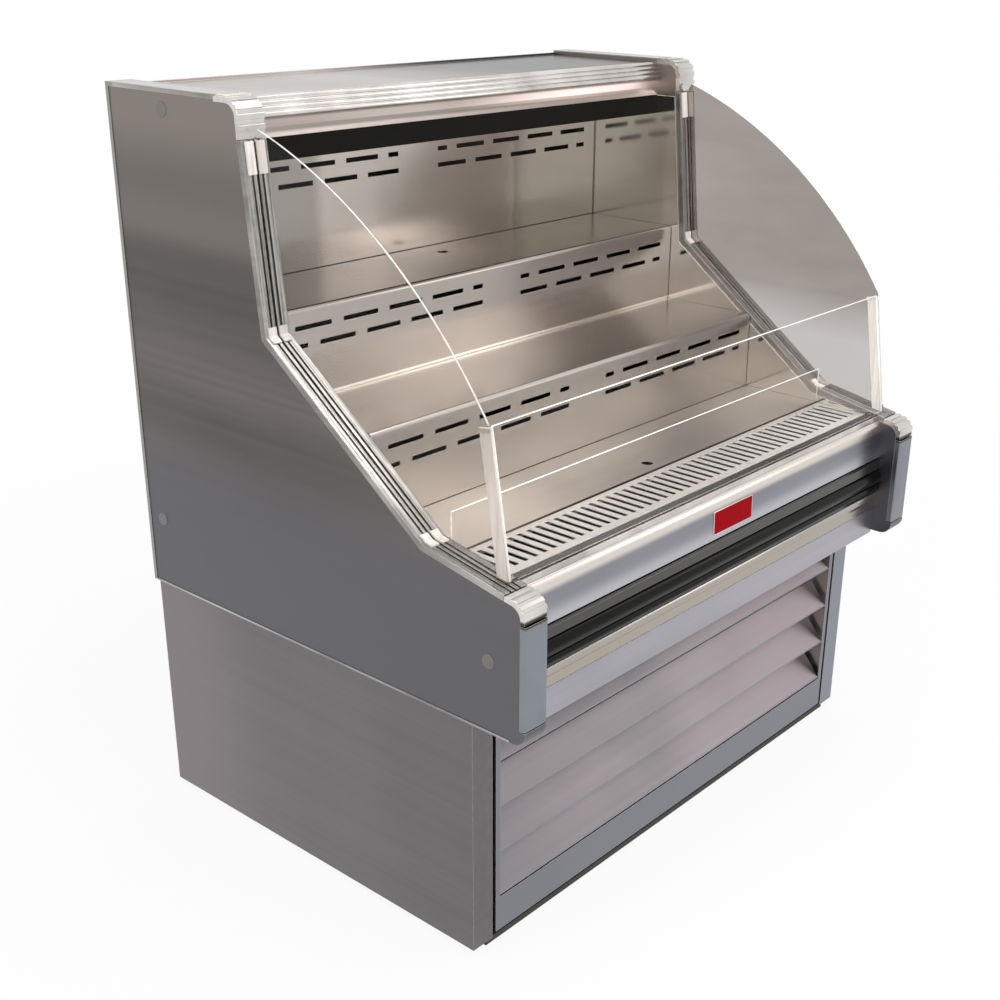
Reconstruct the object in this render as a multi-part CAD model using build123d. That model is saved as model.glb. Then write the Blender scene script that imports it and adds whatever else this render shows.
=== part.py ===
from build123d import *
import os
from math import atan2, cos, hypot, pi, sin

# Open multideck display fridge: an insulated upper cabinet with stepped, lift-out
# tiers, clear guards on three sides and a louvred base that houses the cooling unit.
#
# Frame while modelling: X right, Y back from the front of the nose, Z up from the
# underside of the base panels. "save" moves every piece to the part's frame, whose
# origin is the bottom centre of the whole object.

# ---- driving dimensions, millimetres --------------------------------------------
WIDTH = 1295.0          # over both end panels
DEPTH = 1010.0          # nose to rear skin
TOP = 1454.0            # top of the end panels above the base panels' underside
RUNNER = 12.0           # height of the runners under the base
END_T = 55.0            # thickness of an end panel
CAB_Z = 480.0           # underside of the upper cabinet
SKIN = 2.0              # sheet steel, as modelled
TRIM_T = 1.5            # thickness of the edge trim and of the liners
CHANNEL_T = 12.0        # depth of the channel set in an end panel's front edge
GUARD_T = 5.0           # clear sheet of the guards
LIFT_GAP = 0.5          # gap under and beside pieces that lift out

TIER_1_Z, TIER_1_Y = 1085.0, 638.0      # top surface and riser face of the upper tier
TIER_2_Z, TIER_2_Y = 915.0, 405.0       # the same for the lower tier
DECK_Z, DECK_Y = 746.0, 219.0           # bottom deck and its front lip
BACK_Y = 875.0                          # face of the slotted back wall
CANOPY_Y = 692.0                        # face of the canopy
CANOPY_TOP = 1444.0                     # top deck, just below the end panels' tops
CANOPY_LOW = 1375.0                     # lower edge of the canopy's face
SILL_Z = 745.0
FASCIA_Y = 48.0                         # face of the fascia, behind the nose bars
FASCIA_LOW = 474.0
BASE_INSET = 10.5                       # base sides inside the end panels' faces
BASE_Y = 127.0                          # front of the base

SLOT_LONG, SLOT_SHORT, SLOT_GAP = 86.5, 28.0, 29.5
SLOT_HIGH, SLOT_START = 9.0, 58.0       # slot height, first slot from the centre line
GRILLE_PITCH, GRILLE_COUNT = 24.75, 47
BLADE_PITCH, BLADE_COUNT = 95.0, 4

SIDE_X = WIDTH / 2
IN_X = SIDE_X - END_T                   # inner faces of the end panels
LINER_X = IN_X - TRIM_T                 # inner faces of the side liners
PAN_X = LINER_X - 1.8                   # half width of the lift-out pans
BASE_X = SIDE_X - BASE_INSET            # outer faces of the base sides

# Corners of an end panel's front edge, as Y and Z, from the top down to the nose.
EDGE_TOP = (636.0, TOP)
CAP_END = (633.8, 1385.0)               # where the top cap meets the channel
KINK_1 = (601.0, 1058.0)
KINK_2 = (228.0, 779.0)
NOSE_TOP = (46.0, 745.0)
NOSE = (0.0, 737.0)
PLUGS = [(849.0, 1418.0), (963.0, 623.0), (82.0, 613.0)]

# Curved top edge of the side guards: one arc through these three points.
GUARD_ARC = [(622.0, 1402.0), (326.0, 1245.0), (104.0, 1006.0)]
GUARD_FOOT = (61.0, 735.0)              # where the front guard's lean meets the sill
SILL_FRONT = (50.0, 734.0)              # front and rear edges of the sloping sill
SILL_REAR = (90.5, 744.5)

FAN_Y = 352.0                           # condenser fan
CONDENSER = (-540.0, -140.0, 60.0, 400.0)   # its left, right, lower and upper faces
COOLER_FAN_X = (-250.0, 250.0)          # fans of the cooler in the tank
COMPRESSOR = (300.0, 440.0)
KNOB = (440.0, 325.0)                   # thermostat knob and rocker, as X and Z
ROCKER = (515.0, 325.0)
ROCKER_AXIS_Y = 243.0
GLAND = (430.0, 140.0)
DRAIN = (300.0, 820.0)                  # drain and pipe holes in the tank's floor
PIPE_HOLE = (380.0, 680.0)

os.makedirs("parts", exist_ok=True)


# ---- helpers --------------------------------------------------------------------
def solids_of(shapes):
    """Every solid in a list of shapes or lists of shapes."""
    found = []
    for shape in shapes:
        if isinstance(shape, (list, tuple)):
            found += solids_of(shape)
        else:
            found += shape.solids()
    return found


def save(name, *shapes):
    """Move the node's solids to the part's frame and write them."""
    place = Pos(0, -DEPTH / 2, RUNNER)
    solids = [place * solid for solid in solids_of(shapes)]
    node = solids[0] if len(solids) == 1 else Compound(children=solids)
    export_step(node, f"parts/{name}.step")
    return node


def box(x0, x1, y0, y1, z0, z1):
    """Box between two corners."""
    return Pos((x0 + x1) / 2, (y0 + y1) / 2, (z0 + z1) / 2) * Box(x1 - x0, y1 - y0, z1 - z0)


def side_face(points, radii=None):
    """Closed face in the YZ plane, with an optional radius at each corner."""
    if radii is None:
        return make_face(Polyline(*points, close=True))
    return make_face(FilletPolyline(*points, radius=radii, close=True))


def across(points, x0, x1, radii=None):
    """Section in the YZ plane drawn out along X."""
    face = Plane.YZ.offset(x0) * side_face(points, radii)
    return extrude(face, amount=x1 - x0)


def upright(points, z0, z1, radii=None):
    """Section in the XY plane drawn up along Z."""
    return extrude(Pos(0, 0, z0) * side_face(points, radii), amount=z1 - z0)


def shifted(path, distance):
    """Open path moved to its left, with mitred corners."""
    moved = []
    for i, (a, b) in enumerate(path):
        normals = []
        for p, q in ((i - 1, i), (i, i + 1)):
            if p >= 0 and q < len(path):
                du, dv = path[q][0] - path[p][0], path[q][1] - path[p][1]
                normals.append((-dv / hypot(du, dv), du / hypot(du, dv)))
        nu = sum(n[0] for n in normals)
        nv = sum(n[1] for n in normals)
        if len(normals) == 2:
            scale = 2 / (nu * nu + nv * nv)
        else:
            scale = 1
        moved.append((a + nu * scale * distance, b + nv * scale * distance))
    return moved


def strip(path, near, far):
    """Outline between two shifted copies of an open path."""
    return shifted(path, near) + shifted(path, far)[::-1]


def bent_sheet(path, thick, x0, x1):
    """Folded sheet: thickness to the left of the path, drawn out along X."""
    return across(strip(path, 0, thick), x0, x1)


def arc_path(corner, start, end, radius, steps=8):
    """Points of a rounded corner between two straight edges, and the edges' ends."""
    def unit(p):
        du, dv = p[0] - corner[0], p[1] - corner[1]
        return du / hypot(du, dv), dv / hypot(du, dv)
    (au, av), (bu, bv) = unit(start), unit(end)
    bisect = hypot(au + bu, av + bv)
    half_sin = hypot(au - bu, av - bv) / 2
    reach = radius / half_sin
    cu = corner[0] + (au + bu) / bisect * reach
    cv = corner[1] + (av + bv) / bisect * reach
    run = (reach ** 2 - radius ** 2) ** 0.5
    first = (corner[0] + au * run, corner[1] + av * run)
    last = (corner[0] + bu * run, corner[1] + bv * run)
    a0 = atan2(first[1] - cv, first[0] - cu)
    a1 = atan2(last[1] - cv, last[0] - cu)
    turn = (a1 - a0 + pi) % (2 * pi) - pi
    middle = []
    for i in range(steps + 1):
        a = a0 + turn * i / steps
        middle.append((cu + radius * cos(a), cv + radius * sin(a)))
    return [start] + middle + [end]


def along(path, s):
    """Point and left normal at a length along a path."""
    for (a, b), (c, d) in zip(path, path[1:]):
        run = hypot(c - a, d - b)
        if s <= run or (c, d) == path[-1]:
            share = s / run
            return (a + (c - a) * share, b + (d - b) * share), (-(d - b) / run, (c - a) / run)
        s -= run


def ribbed_band(path, depth, valley, ribs, width):
    """Outline of a band that follows a path, with ribs that stand above valleys."""
    total = sum(hypot(c - a, d - b) for (a, b), (c, d) in zip(path, path[1:]))
    outer = []
    for start in ribs:
        for s, low in ((start, True), (start, False), (start + width, False), (start + width, True)):
            (u, v), (nu, nv) = along(path, s)
            drop = valley if low else 0
            outer.append((u + nu * drop, v + nv * drop))
    (u0, v0), (nu0, nv0) = along(path, 0)
    (u1, v1), (nu1, nv1) = along(path, total)
    first = (u0 + nu0 * valley, v0 + nv0 * valley)
    last = (u1 + nu1 * valley, v1 + nv1 * valley)
    return [first] + outer + [last] + shifted(path, depth)[::-1]


def mirrored(shape):
    """The same piece for the right-hand side."""
    return mirror(shape, about=Plane.YZ)


def toward(start, end, distance):
    """Point at a distance from one point toward another."""
    run = hypot(end[0] - start[0], end[1] - start[1])
    share = distance / run
    return start[0] + (end[0] - start[0]) * share, start[1] + (end[1] - start[1]) * share


def tube(points, radius):
    """Eight-sided tube along straight runs, mitred at each bend."""
    first = Vector(*points[1]) - Vector(*points[0])
    start = Plane(origin=points[0], z_dir=first)
    path = Polyline(*points) if len(points) > 2 else Line(*points)
    section = start * RegularPolygon(radius, 8)
    return sweep(section, path=path, transition=Transition.RIGHT)


def turned_y(x, y, z, shape):
    """A shape made about Z, laid along Y (its top toward the front) and placed."""
    return Pos(x, y, z) * Rot(90, 0, 0) * shape


# ---- end panels -----------------------------------------------------------------
FRONT_PATH = [(700.0, TOP), EDGE_TOP, CAP_END, KINK_1, KINK_2, NOSE_TOP, NOSE, (0.0, CAB_Z)]
CHANNEL_PATH = [CAP_END, KINK_1, KINK_2, NOSE_TOP]


def end_panel():
    """Foam-filled panel: its front edge is set back to take the channel and nose bar."""
    inner = shifted(FRONT_PATH, CHANNEL_T)[:-1]
    rear, top = DEPTH - TRIM_T, TOP - TRIM_T
    points = [(rear, CAB_Z), (rear, top), (700.0, top)] + inner
    points += [(CHANNEL_T, 508.0), (0.0, 508.0), (0.0, CAB_Z)]
    radii = [0, 0, 0] + [0, 22, 0, 0, 0, 0, 22] + [0, 0, 26]
    panel = across(points, -SIDE_X + TRIM_T, -IN_X, radii)
    for y, z in PLUGS:
        hole = extrude(RegularPolygon(6.3, 6), 12)
        panel -= Pos(-SIDE_X + TRIM_T, y, z) * Rot(0, 90, 0) * hole
    return panel


def plug_cap(y, z):
    """Push-in cap over an assembly bolt: a low bevelled head on a stem."""
    cap = extrude(RegularPolygon(14, 16), 1.5, taper=40)
    cap += Pos(0, 0, -9) * extrude(RegularPolygon(5.8, 6), 9.2)
    return Pos(-SIDE_X + TRIM_T, y, z) * Rot(0, -90, 0) * cap


def edge_channel():
    """Extruded trim in the sloping front edge, with a deep groove for the side guard."""
    body = across(strip(CHANNEL_PATH, 9, CHANNEL_T), -SIDE_X, -IN_X)
    for a, b in ((0.0, 14.0), (18.5, 24.5), (30.5, 36.5), (41.0, 55.0)):
        body += across(strip(CHANNEL_PATH, 0, 9), -SIDE_X + a, -SIDE_X + b)
    return body


def top_cap():
    """Ribbed corner cap over the top front corner of an end panel."""
    path = arc_path(EDGE_TOP, (700.0, TOP), toward(CAP_END, EDGE_TOP, 1.0), 34)
    outline = ribbed_band(path, CHANNEL_T - 0.3, 2.5, [8, 24, 42, 60, 78, 96], 9)
    return across(outline, -SIDE_X, -IN_X)


def nose_cap():
    """Ribbed corner cap over the nose, between the channel and the nose bar."""
    path = arc_path(NOSE, toward(NOSE_TOP, NOSE, 1.0), (0.0, 703.0), 34)
    outline = ribbed_band(path, CHANNEL_T - 0.3, 2.5, [6, 20, 34, 48], 8)
    return across(outline, -SIDE_X, -IN_X)


def nose_bar():
    """Upright bumper bar on the blunt front of an end panel."""
    x0, x1 = -SIDE_X, -IN_X
    points = [(x0, 0), (x1, 0), (x1, CHANNEL_T), (x0, CHANNEL_T)]
    return upright(points, 510.5, 700.5, [3, 3, 0, 0])


def edge_trim():
    """Thin folded trim round the rear, top and bottom edges of an end panel."""
    x0, x1 = -SIDE_X, -IN_X
    rear, top = DEPTH - TRIM_T, TOP - TRIM_T
    lip = box(x0, x0 + TRIM_T, DEPTH - 8, DEPTH, CAB_Z, TOP)
    lip += box(x0, x0 + TRIM_T, 700, DEPTH, TOP - 8, TOP)
    lip += box(x0, x0 + TRIM_T, 34, DEPTH, CAB_Z, CAB_Z + 4)
    wrap = box(x0, x1, rear, DEPTH, CAB_Z, TOP)
    wrap += box(x0, x1, 700, DEPTH, top, TOP)
    return lip + wrap


def side_liner():
    """Inner skin of an end panel, seen from inside the display."""
    _, _, cap, kink_1, kink_2, nose, _, _ = shifted(FRONT_PATH, CHANNEL_T + 2)
    rise = (kink_2[1] - nose[1]) / (kink_2[0] - nose[0])
    points = [
        (104.0, 540.0), (950.0, 540.0), (950.0, CANOPY_LOW - 0.5),
        (cap[0] - 1.0, CANOPY_LOW - 0.5), kink_1, kink_2,
        (104.0, nose[1] + rise * (104.0 - nose[0])),
    ]
    return across(points, -IN_X, -LINER_X)


def tier_ledges():
    """Angle ledges on the liners that the three pans and the grille rest on."""
    made = []
    for z, y0, y1 in (
        (TIER_1_Z, 662.0, 866.0), (TIER_2_Z, 430.0, 630.0), (DECK_Z, 240.0, 396.0),
        (SILL_Z, 110.0, 206.0),
    ):
        top = z - SKIN - LIFT_GAP
        shelf = box(-LINER_X, -LINER_X + 20, y0, y1, top - SKIN, top)
        web = box(-LINER_X, -LINER_X + SKIN, y0, y1, top - 20, top - SKIN)
        made += [shelf + web, mirrored(shelf + web)]
    return made


# ---- insulated tank, back and canopy ----------------------------------------------
def insulated_tank():
    """Foam-filled tub: front wall, floor that falls to a drain, and back wall."""
    points = [
        (60.0, CAB_Z), (1008.0, CAB_Z), (1008.0, 1396.0), (950.0, 1396.0), (950.0, 540.0),
        (104.0, 540.0), (104.0, 722.0), (60.0, 722.0),
    ]
    tub = across(points, -IN_X, IN_X)
    tub -= Pos(*DRAIN, CAB_Z - 10) * extrude(RegularPolygon(9.3, 12), 80)
    tub -= Pos(*PIPE_HOLE, CAB_Z - 10) * extrude(RegularPolygon(16, 12), 80)
    return tub


def back_skin():
    """Outer rear sheet between the end panels."""
    return box(-IN_X, IN_X, 1008.0, DEPTH, CAB_Z, 1442.0)


def canopy_top():
    """Insulated top deck with a shallow upstand along the back."""
    deck = box(-IN_X, IN_X, 712.0, 1008.0, 1396.0, CANOPY_TOP)
    upstand = box(-IN_X, IN_X, 1004.0, 1008.0, CANOPY_TOP, CANOPY_TOP + 5)
    return deck + upstand


def canopy_front():
    """Rolled steel face of the canopy: a shallow bow with a return at each edge."""
    high, drop, bow, steps = 1411.0, 1411.0 - CANOPY_LOW, 5.0, 6
    path = [(712.0, high)]
    for i in range(steps + 1):
        share = i / steps
        path.append((CANOPY_Y + bow - bow * sin(pi * share), high - drop * share))
    path.append((699.5, CANOPY_LOW))
    return bent_sheet(path, SKIN, -IN_X, IN_X)


def canopy_trim():
    """Fluted nosing along the canopy's top front edge."""
    low, high = (689.0, 1411.0), (708.0, CANOPY_TOP + 1.5)
    flutes, steps = 4, 5
    run_u, run_v = (high[0] - low[0]) / flutes, (high[1] - low[1]) / flutes
    length = hypot(run_u, run_v)
    nu, nv = -run_v / length, run_u / length
    points = []
    for i in range(flutes):
        for k in range(steps):
            share = k / steps
            bulge = 2.6 * sin(pi * share)
            u = low[0] + run_u * (i + share) + nu * bulge
            v = low[1] + run_v * (i + share) + nv * bulge
            points.append((u, v))
    points += [high, (712.0, high[1]), (712.0, low[1])]
    return across(points, -IN_X, IN_X)


def air_honeycomb():
    """Black air outlet under the canopy: a channel with upright vanes across it."""
    low, back = 1334.0, 752.0
    front = box(-LINER_X, LINER_X, 700.0, 703.0, low, 1396.0)
    rear = box(-LINER_X, LINER_X, back, back + 3, low, 1364.0)
    roof = box(-LINER_X, LINER_X, back, back + 12, 1362.0, 1364.0)
    made = front + rear + roof
    made += box(-LINER_X, LINER_X, 700.0, 738.0, 1394.0, 1396.0)
    made += box(-LINER_X, LINER_X, 726.0, 728.0, low + 3, 1352.0)
    count = 17
    for i in range(count):
        x = -LINER_X + 20 + (2 * LINER_X - 40) * i / (count - 1)
        made += box(x - 1, x + 1, 703.0, back, low + 3, 1352.0)
    return made


def canopy_liner():
    """Underside of the canopy, which closes the air duct above the display."""
    return box(-LINER_X, LINER_X, 764.0, BACK_Y, 1362.0, 1364.0)


def slot_row(z, y, short_outside):
    """One row of slots, mirrored about the centre line, as cutting boxes."""
    widths = [SLOT_LONG] * 4 + [SLOT_SHORT] if short_outside else [SLOT_SHORT] + [SLOT_LONG] * 4
    cutters, x = [], SLOT_START
    for width in widths:
        cutters.append(box(x, x + width, y - 6, y + 6, z - SLOT_HIGH / 2, z + SLOT_HIGH / 2))
        cutters.append(box(-x - width, -x, y - 6, y + 6, z - SLOT_HIGH / 2, z + SLOT_HIGH / 2))
        x += width + SLOT_GAP
    return cutters


def back_wall():
    """Slotted rear wall of the display, also the front of the air plenum."""
    wall = box(-LINER_X, LINER_X, BACK_Y, BACK_Y + SKIN, 560.0, 1364.0)
    wall -= slot_row(1286.0, BACK_Y, False) + slot_row(1252.0, BACK_Y, True)
    for z in (790.0, 970.0):
        for i in range(5):
            x = -460.0 + 230.0 * i
            wall -= box(x - 70, x + 70, BACK_Y - 5, BACK_Y + 5, z, z + 60)
    return wall


# ---- lift-out pans, stop and grille -------------------------------------------------
def tier_pan(top, front, rear, foot, rows):
    """Folded pan: its riser reaches down behind the pan in front and turns back."""
    path = [(rear, top - 22), (rear, top), (front, top), (front, foot), (front + 15, foot)]
    radii = [0, 2.5, 8, 2.5, 0, 0, 0.5, 6, 0.5, 0]
    pan = across(strip(path, 0, SKIN), -PAN_X, PAN_X, radii)
    for z, short_outside in rows:
        pan -= slot_row(z, front, short_outside)
    return pan


def upper_tier():
    pan = tier_pan(TIER_1_Z, TIER_1_Y, 872.5, 904.0, [(1048.5, False), (1015.0, True)])
    pan -= Pos(0, 807, TIER_1_Z) * Cylinder(12, 20)
    return pan


def lower_tier():
    return tier_pan(TIER_2_Z, TIER_2_Y, 636.5, 736.0, [(881.5, False), (845.5, True)])


def deck_pan():
    """Bottom deck with a folded front lip, a rear flange and a finger hole."""
    path = [(403.2, DECK_Z - 22), (403.2, DECK_Z), (DECK_Y, DECK_Z), (DECK_Y, DECK_Z - 16)]
    pan = bent_sheet(path, SKIN, -PAN_X, PAN_X)
    pan -= Pos(0, 251, DECK_Z) * Cylinder(12, 20)
    return pan


def product_stop():
    """Clear fence that stands on the front lip of the deck."""
    y0 = DECK_Y - 4
    plate = box(-PAN_X, PAN_X, y0, DECK_Y, DECK_Z - 12, 823.0)
    return fillet(plate.edges().filter_by(Axis.X).group_by(Axis.Z)[-1], 1.2)


def return_grille():
    """Return-air grille: a folded plate with a slot every GRILLE_PITCH."""
    path = [(212.0, 728.0), (212.0, SILL_Z), (92.0, SILL_Z), (92.0, 728.0)]
    plate = bent_sheet(path, SKIN, -PAN_X, PAN_X)
    for i in range(GRILLE_COUNT):
        x = GRILLE_PITCH * (i - (GRILLE_COUNT - 1) / 2)
        plate -= box(x - 5.5, x + 5.5, 110.0, 198.0, SILL_Z - 6, SILL_Z + 4)
    return plate


# ---- sill and fascia -----------------------------------------------------------------
def sill_nose():
    """Sloping sill, bullnose and upper face folded from one sheet."""
    path = [(SILL_REAR[0], 722.0), SILL_REAR, SILL_FRONT, (FASCIA_Y, 651.0), (60.0, 651.0)]
    radii = [0, 1.5, 17, 2.5, 0] + [0, 0.5, 15, 0.5, 0]
    return across(strip(path, 0, SKIN), -IN_X, IN_X, radii)


def on_lean(back, up):
    """Point at a distance behind the front guard's face and a height along it."""
    (y0, z0), (y1, z1) = GUARD_FOOT, GUARD_ARC[2]
    run = hypot(y1 - y0, z1 - z0)
    u, v = (y1 - y0) / run, (z1 - z0) / run
    return y0 + u * up + v * back, z0 + v * up - u * back


def on_sill(back):
    """Height along the front guard at which a line behind its face meets the sill."""
    slope = (SILL_REAR[1] - SILL_FRONT[1]) / (SILL_REAR[0] - SILL_FRONT[0])
    gaps = []
    for up in (0.0, 10.0):
        y, z = on_lean(back, up)
        gaps.append(z - SILL_FRONT[1] - slope * (y - SILL_FRONT[0]))
    return 10.0 * gaps[0] / (gaps[0] - gaps[1])


def guard_seat():
    """Channel on the sill that holds the foot of the front guard."""
    points = [
        on_lean(-3, on_sill(-3)), on_lean(8, on_sill(8)), on_lean(8, 13), on_lean(5.2, 13),
        on_lean(5.2, on_sill(5.2) + 2), on_lean(-0.2, on_sill(-0.2) + 2), on_lean(-0.2, 11),
        on_lean(-3, 11),
    ]
    return across(points, -IN_X + 0.5, IN_X - 0.5)


def bumper_rail():
    """Metal bumper rail: a shallow channel for the insert over a rolled bead."""
    y = FASCIA_Y
    points = [
        (y, 649.0), (y - 4, 646.0), (y - 4, 627.0), (y + 6, 626.0), (y + 6, 574.0),
        (y - 4, 573.0), (y - 6, 570.0), (y - 6, 560.0), (y - 1, 552.0), (y - 1, 534.0),
        (y + 12, 534.0), (y + 12, 649.0),
    ]
    radii = [0, 1, 1, 0, 0, 1, 2, 3, 3, 0, 0, 0]
    return across(points, -IN_X, IN_X, radii)


def bumper_insert():
    """Glossy black insert in the bumper rail: a wide lobe over a narrow one."""
    y = FASCIA_Y
    points = [
        (y + 6, 574.4), (y - 7, 576.0), (y - 10, 585.0), (y - 8, 593.0), (y - 4, 594.5),
        (y - 9, 597.0), (y - 12, 609.0), (y - 5, 624.0), (y + 6, 625.6),
    ]
    return across(points, -IN_X, IN_X, [0, 4, 6, 2, 0.8, 2, 14, 8, 0])


def fascia_panel():
    """Lower fascia sheet with a return to the tank at each edge."""
    path = [(60.0, 532.0), (FASCIA_Y, 532.0), (FASCIA_Y, FASCIA_LOW), (120.0, FASCIA_LOW)]
    return bent_sheet(path, SKIN, -IN_X, IN_X)


# ---- clear guards ----------------------------------------------------------------------
LEAN_RUN = hypot(GUARD_ARC[2][0] - GUARD_FOOT[0], GUARD_ARC[2][1] - GUARD_FOOT[1])
GUARD_MID = -SIDE_X + END_T / 2         # middle of a side guard's thickness
FRONT_HALF = 611.0                      # half width of the front guard


def side_guard():
    """Curved clear end guard that stands in the channel's groove."""
    seat = shifted(CHANNEL_PATH, 8.5)
    rise = (seat[2][1] - seat[3][1]) / (seat[2][0] - seat[3][0])
    (y0, z0), (y1, z1) = GUARD_FOOT, GUARD_ARC[2]
    lean = (y1 - y0) / (z1 - z0)
    z_foot = (seat[3][1] + rise * (y0 - lean * z0 - seat[3][0])) / (1 - rise * lean)
    foot = (y0 + lean * (z_foot - z0), z_foot)
    top_in = along(seat, 4)[0]
    top_out = along(shifted(CHANNEL_PATH, -1), 4)[0]
    arc = ThreePointArc(*GUARD_ARC)
    edges = Polyline(GUARD_ARC[2], foot, seat[2], seat[1], top_in, top_out, GUARD_ARC[0])
    face = make_face(Curve() + [arc, edges])
    return extrude(Plane.YZ.offset(GUARD_MID - GUARD_T / 2) * face, amount=GUARD_T)


def front_guard():
    """Flat clear front guard: it leans back from its seat, notched over the channels."""
    low, high = 7.0, LEAN_RUN - 4
    outline = [on_lean(0, low), on_lean(GUARD_T, low), on_lean(GUARD_T, high), on_lean(0, high)]
    pane = across(outline, -FRONT_HALF, FRONT_HALF)
    pane = fillet(pane.edges().filter_by(Axis.X).group_by(Axis.Z)[-1], 1.2)
    for x in (-IN_X - 10, IN_X + 10):
        pane -= box(x - 10.5, x + 10.5, 40.0, 90.0, 730.0, 750.5)
    return pane


def guard_post():
    """Clear corner bar that joins the front guard to a side guard."""
    high = LEAN_RUN - 14
    outline = [on_lean(0, 15.5), on_lean(25, 23.5), on_lean(25, high), on_lean(0, high)]
    return across(outline, GUARD_MID + GUARD_T / 2, -FRONT_HALF)


def guard_clips():
    """Saddle clips on the channel at its bends and caps on the corner bars."""
    paths = [
        [toward(CAP_END, KINK_1, 2), toward(CAP_END, KINK_1, 56)],
        [toward(KINK_1, CAP_END, 16), KINK_1, toward(KINK_1, KINK_2, 16)],
        [toward(KINK_2, KINK_1, 16), KINK_2, toward(KINK_2, NOSE_TOP, 16)],
    ]
    made = []
    for path in paths:
        for x0, x1 in ((-21, -3.3), (3.3, 21)):
            made.append(across(strip(path, 0, -2.5), GUARD_MID + x0, GUARD_MID + x1))
    low, high = LEAN_RUN - 14, LEAN_RUN - 6
    outline = [on_lean(0, low), on_lean(25, low), on_lean(25, high), on_lean(0, high)]
    made.append(across(outline, GUARD_MID + GUARD_T / 2, -FRONT_HALF))
    return made


# ---- base ---------------------------------------------------------------------------------
def base_side():
    """Side sheet of the base with a return flange at the front and a foot flange."""
    x = -BASE_X
    side = box(x, x + SKIN, BASE_Y, 1008.0, 0.0, CAB_Z)
    side += box(x, x + 51, BASE_Y, BASE_Y + SKIN, 0.0, CAB_Z - 6)
    side += box(x + 49, x + 51, BASE_Y, BASE_Y + 40, 0.0, CAB_Z - 6)
    side += box(x, x + 22, BASE_Y + 42, 1008.0, CAB_Z - SKIN, CAB_Z)
    side += box(x, x + 22, 1006.0, 1008.0, 0.0, CAB_Z)
    return side


def base_back():
    """Rear panel of the base, with a field of upright air slots and a cable hole."""
    half = BASE_X - 24
    sheet = box(-half, half, 1006.0, 1008.0, 4.0, CAB_Z - 4)
    for row in range(2):
        for i in range(9):
            x = -360 + 45 * i
            z = 190 + 95 * row
            sheet -= box(x - 5, x + 5, 1000.0, 1012.0, z, z + 70)
    sheet -= turned_y(GLAND[0], 1007.0, GLAND[1], Cylinder(12, 20))
    return sheet


def base_runners():
    """Low runners that carry the base just clear of the floor."""
    front = box(-600.0, 600.0, 131.0, 171.0, -RUNNER, 0.0)
    rear = box(-600.0, 600.0, 960.0, 1000.0, -RUNNER, 0.0)
    left = box(-600.0, -560.0, 171.0, 960.0, -RUNNER, 0.0)
    right = box(560.0, 600.0, 171.0, 960.0, -RUNNER, 0.0)
    return front + rear + left + right


def base_frame():
    """Welded frame of square tube inside the base panels, with a rim for the tank."""
    out_x, in_x = BASE_X - SKIN, BASE_X - SKIN - 30
    high = CAB_Z - SKIN
    made = box(-out_x + 20, out_x - 20, 182.0, 1005.0, high, CAB_Z)
    made -= box(-in_x, in_x, 212.0, 975.0, high - 3, CAB_Z + 3)
    for y in (182.0, 975.0):
        for z in (0.0, high - 30):
            made += box(-out_x, out_x, y, y + 30, z, z + 30)
        made += box(-out_x, -in_x, y, y + 30, 0.0, high)
        made += box(in_x, out_x, y, y + 30, 0.0, high)
    for z in (0.0, high - 30):
        made += box(-out_x, -in_x, 182.0, 1005.0, z, z + 30)
        made += box(in_x, out_x, 182.0, 1005.0, z, z + 30)
    for y in (400.0, 730.0):
        made += box(-out_x, out_x, y, y + 30, high - 30, high)
    return made


def louver_panel():
    """Removable front panel: flanged frame, three straps and slanted blades."""
    half, low, high = 577.0, 8.0, 462.0
    tip, back = BASE_Y, BASE_Y + 52
    flange = 12.0
    blade_half = half - flange - 1
    stile = box(half - SKIN, half, tip, back, low, high)
    stile += box(half - flange, half, tip, tip + SKIN, low, high)
    panel = stile + mirrored(stile)
    panel += box(-half, half, back - SKIN, back, low, low + 60)
    rail = [(back, low), (tip, low), (tip, 80.0), (tip + 12, 80.0)]
    panel += across(strip(rail, 0, -SKIN), -half, half)
    panel += box(-half, half, tip, back, high - SKIN, high)
    for x in (-568.0, 0.0, 568.0):
        panel += box(x - 9, x + 9, back - 3, back, low, high)
    for i in range(BLADE_COUNT):
        z = 84.0 + BLADE_PITCH * i
        path = [(tip + 6, z - 1.0), (tip, z), (tip + 44, z + 52.5), (tip + 49, z + 52.5), (tip + 49, z + 70)]
        panel += across(strip(path, 0, -SKIN), -blade_half, blade_half)
    return panel


# ---- cooling unit in the base ----------------------------------------------------------------
def unit_tray():
    """Tray across the frame that the cooling unit is bolted to."""
    tray = box(-633.0, 633.0, 214.0, 973.0, 30.0, 33.0)
    return tray + box(-604.0, 604.0, 214.0, 216.0, 33.0, 45.0)


def compressor():
    """Hermetic compressor: domed can on a foot plate, with a terminal cover."""
    x, y = COMPRESSOR
    made = Pos(x, y, 50) * extrude(RegularPolygon(98, 18), 158)
    made += Pos(x, y, 150) * extrude(RegularPolygon(102, 18), 6)
    made += Pos(x, y, 208) * extrude(RegularPolygon(98, 18), 30, taper=35)
    made += Pos(x, y, 237) * extrude(RegularPolygon(75, 18), 19, taper=66)
    made += box(x - 110, x + 110, y - 40, y + 40, 45.0, 52.0)
    for side in (-95.0, 95.0):
        made += Pos(x + side, y, 33) * extrude(RegularPolygon(11, 12), 12.5)
    return made + box(x + 85, x + 120, y - 28, y + 28, 118.0, 190.0)


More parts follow.
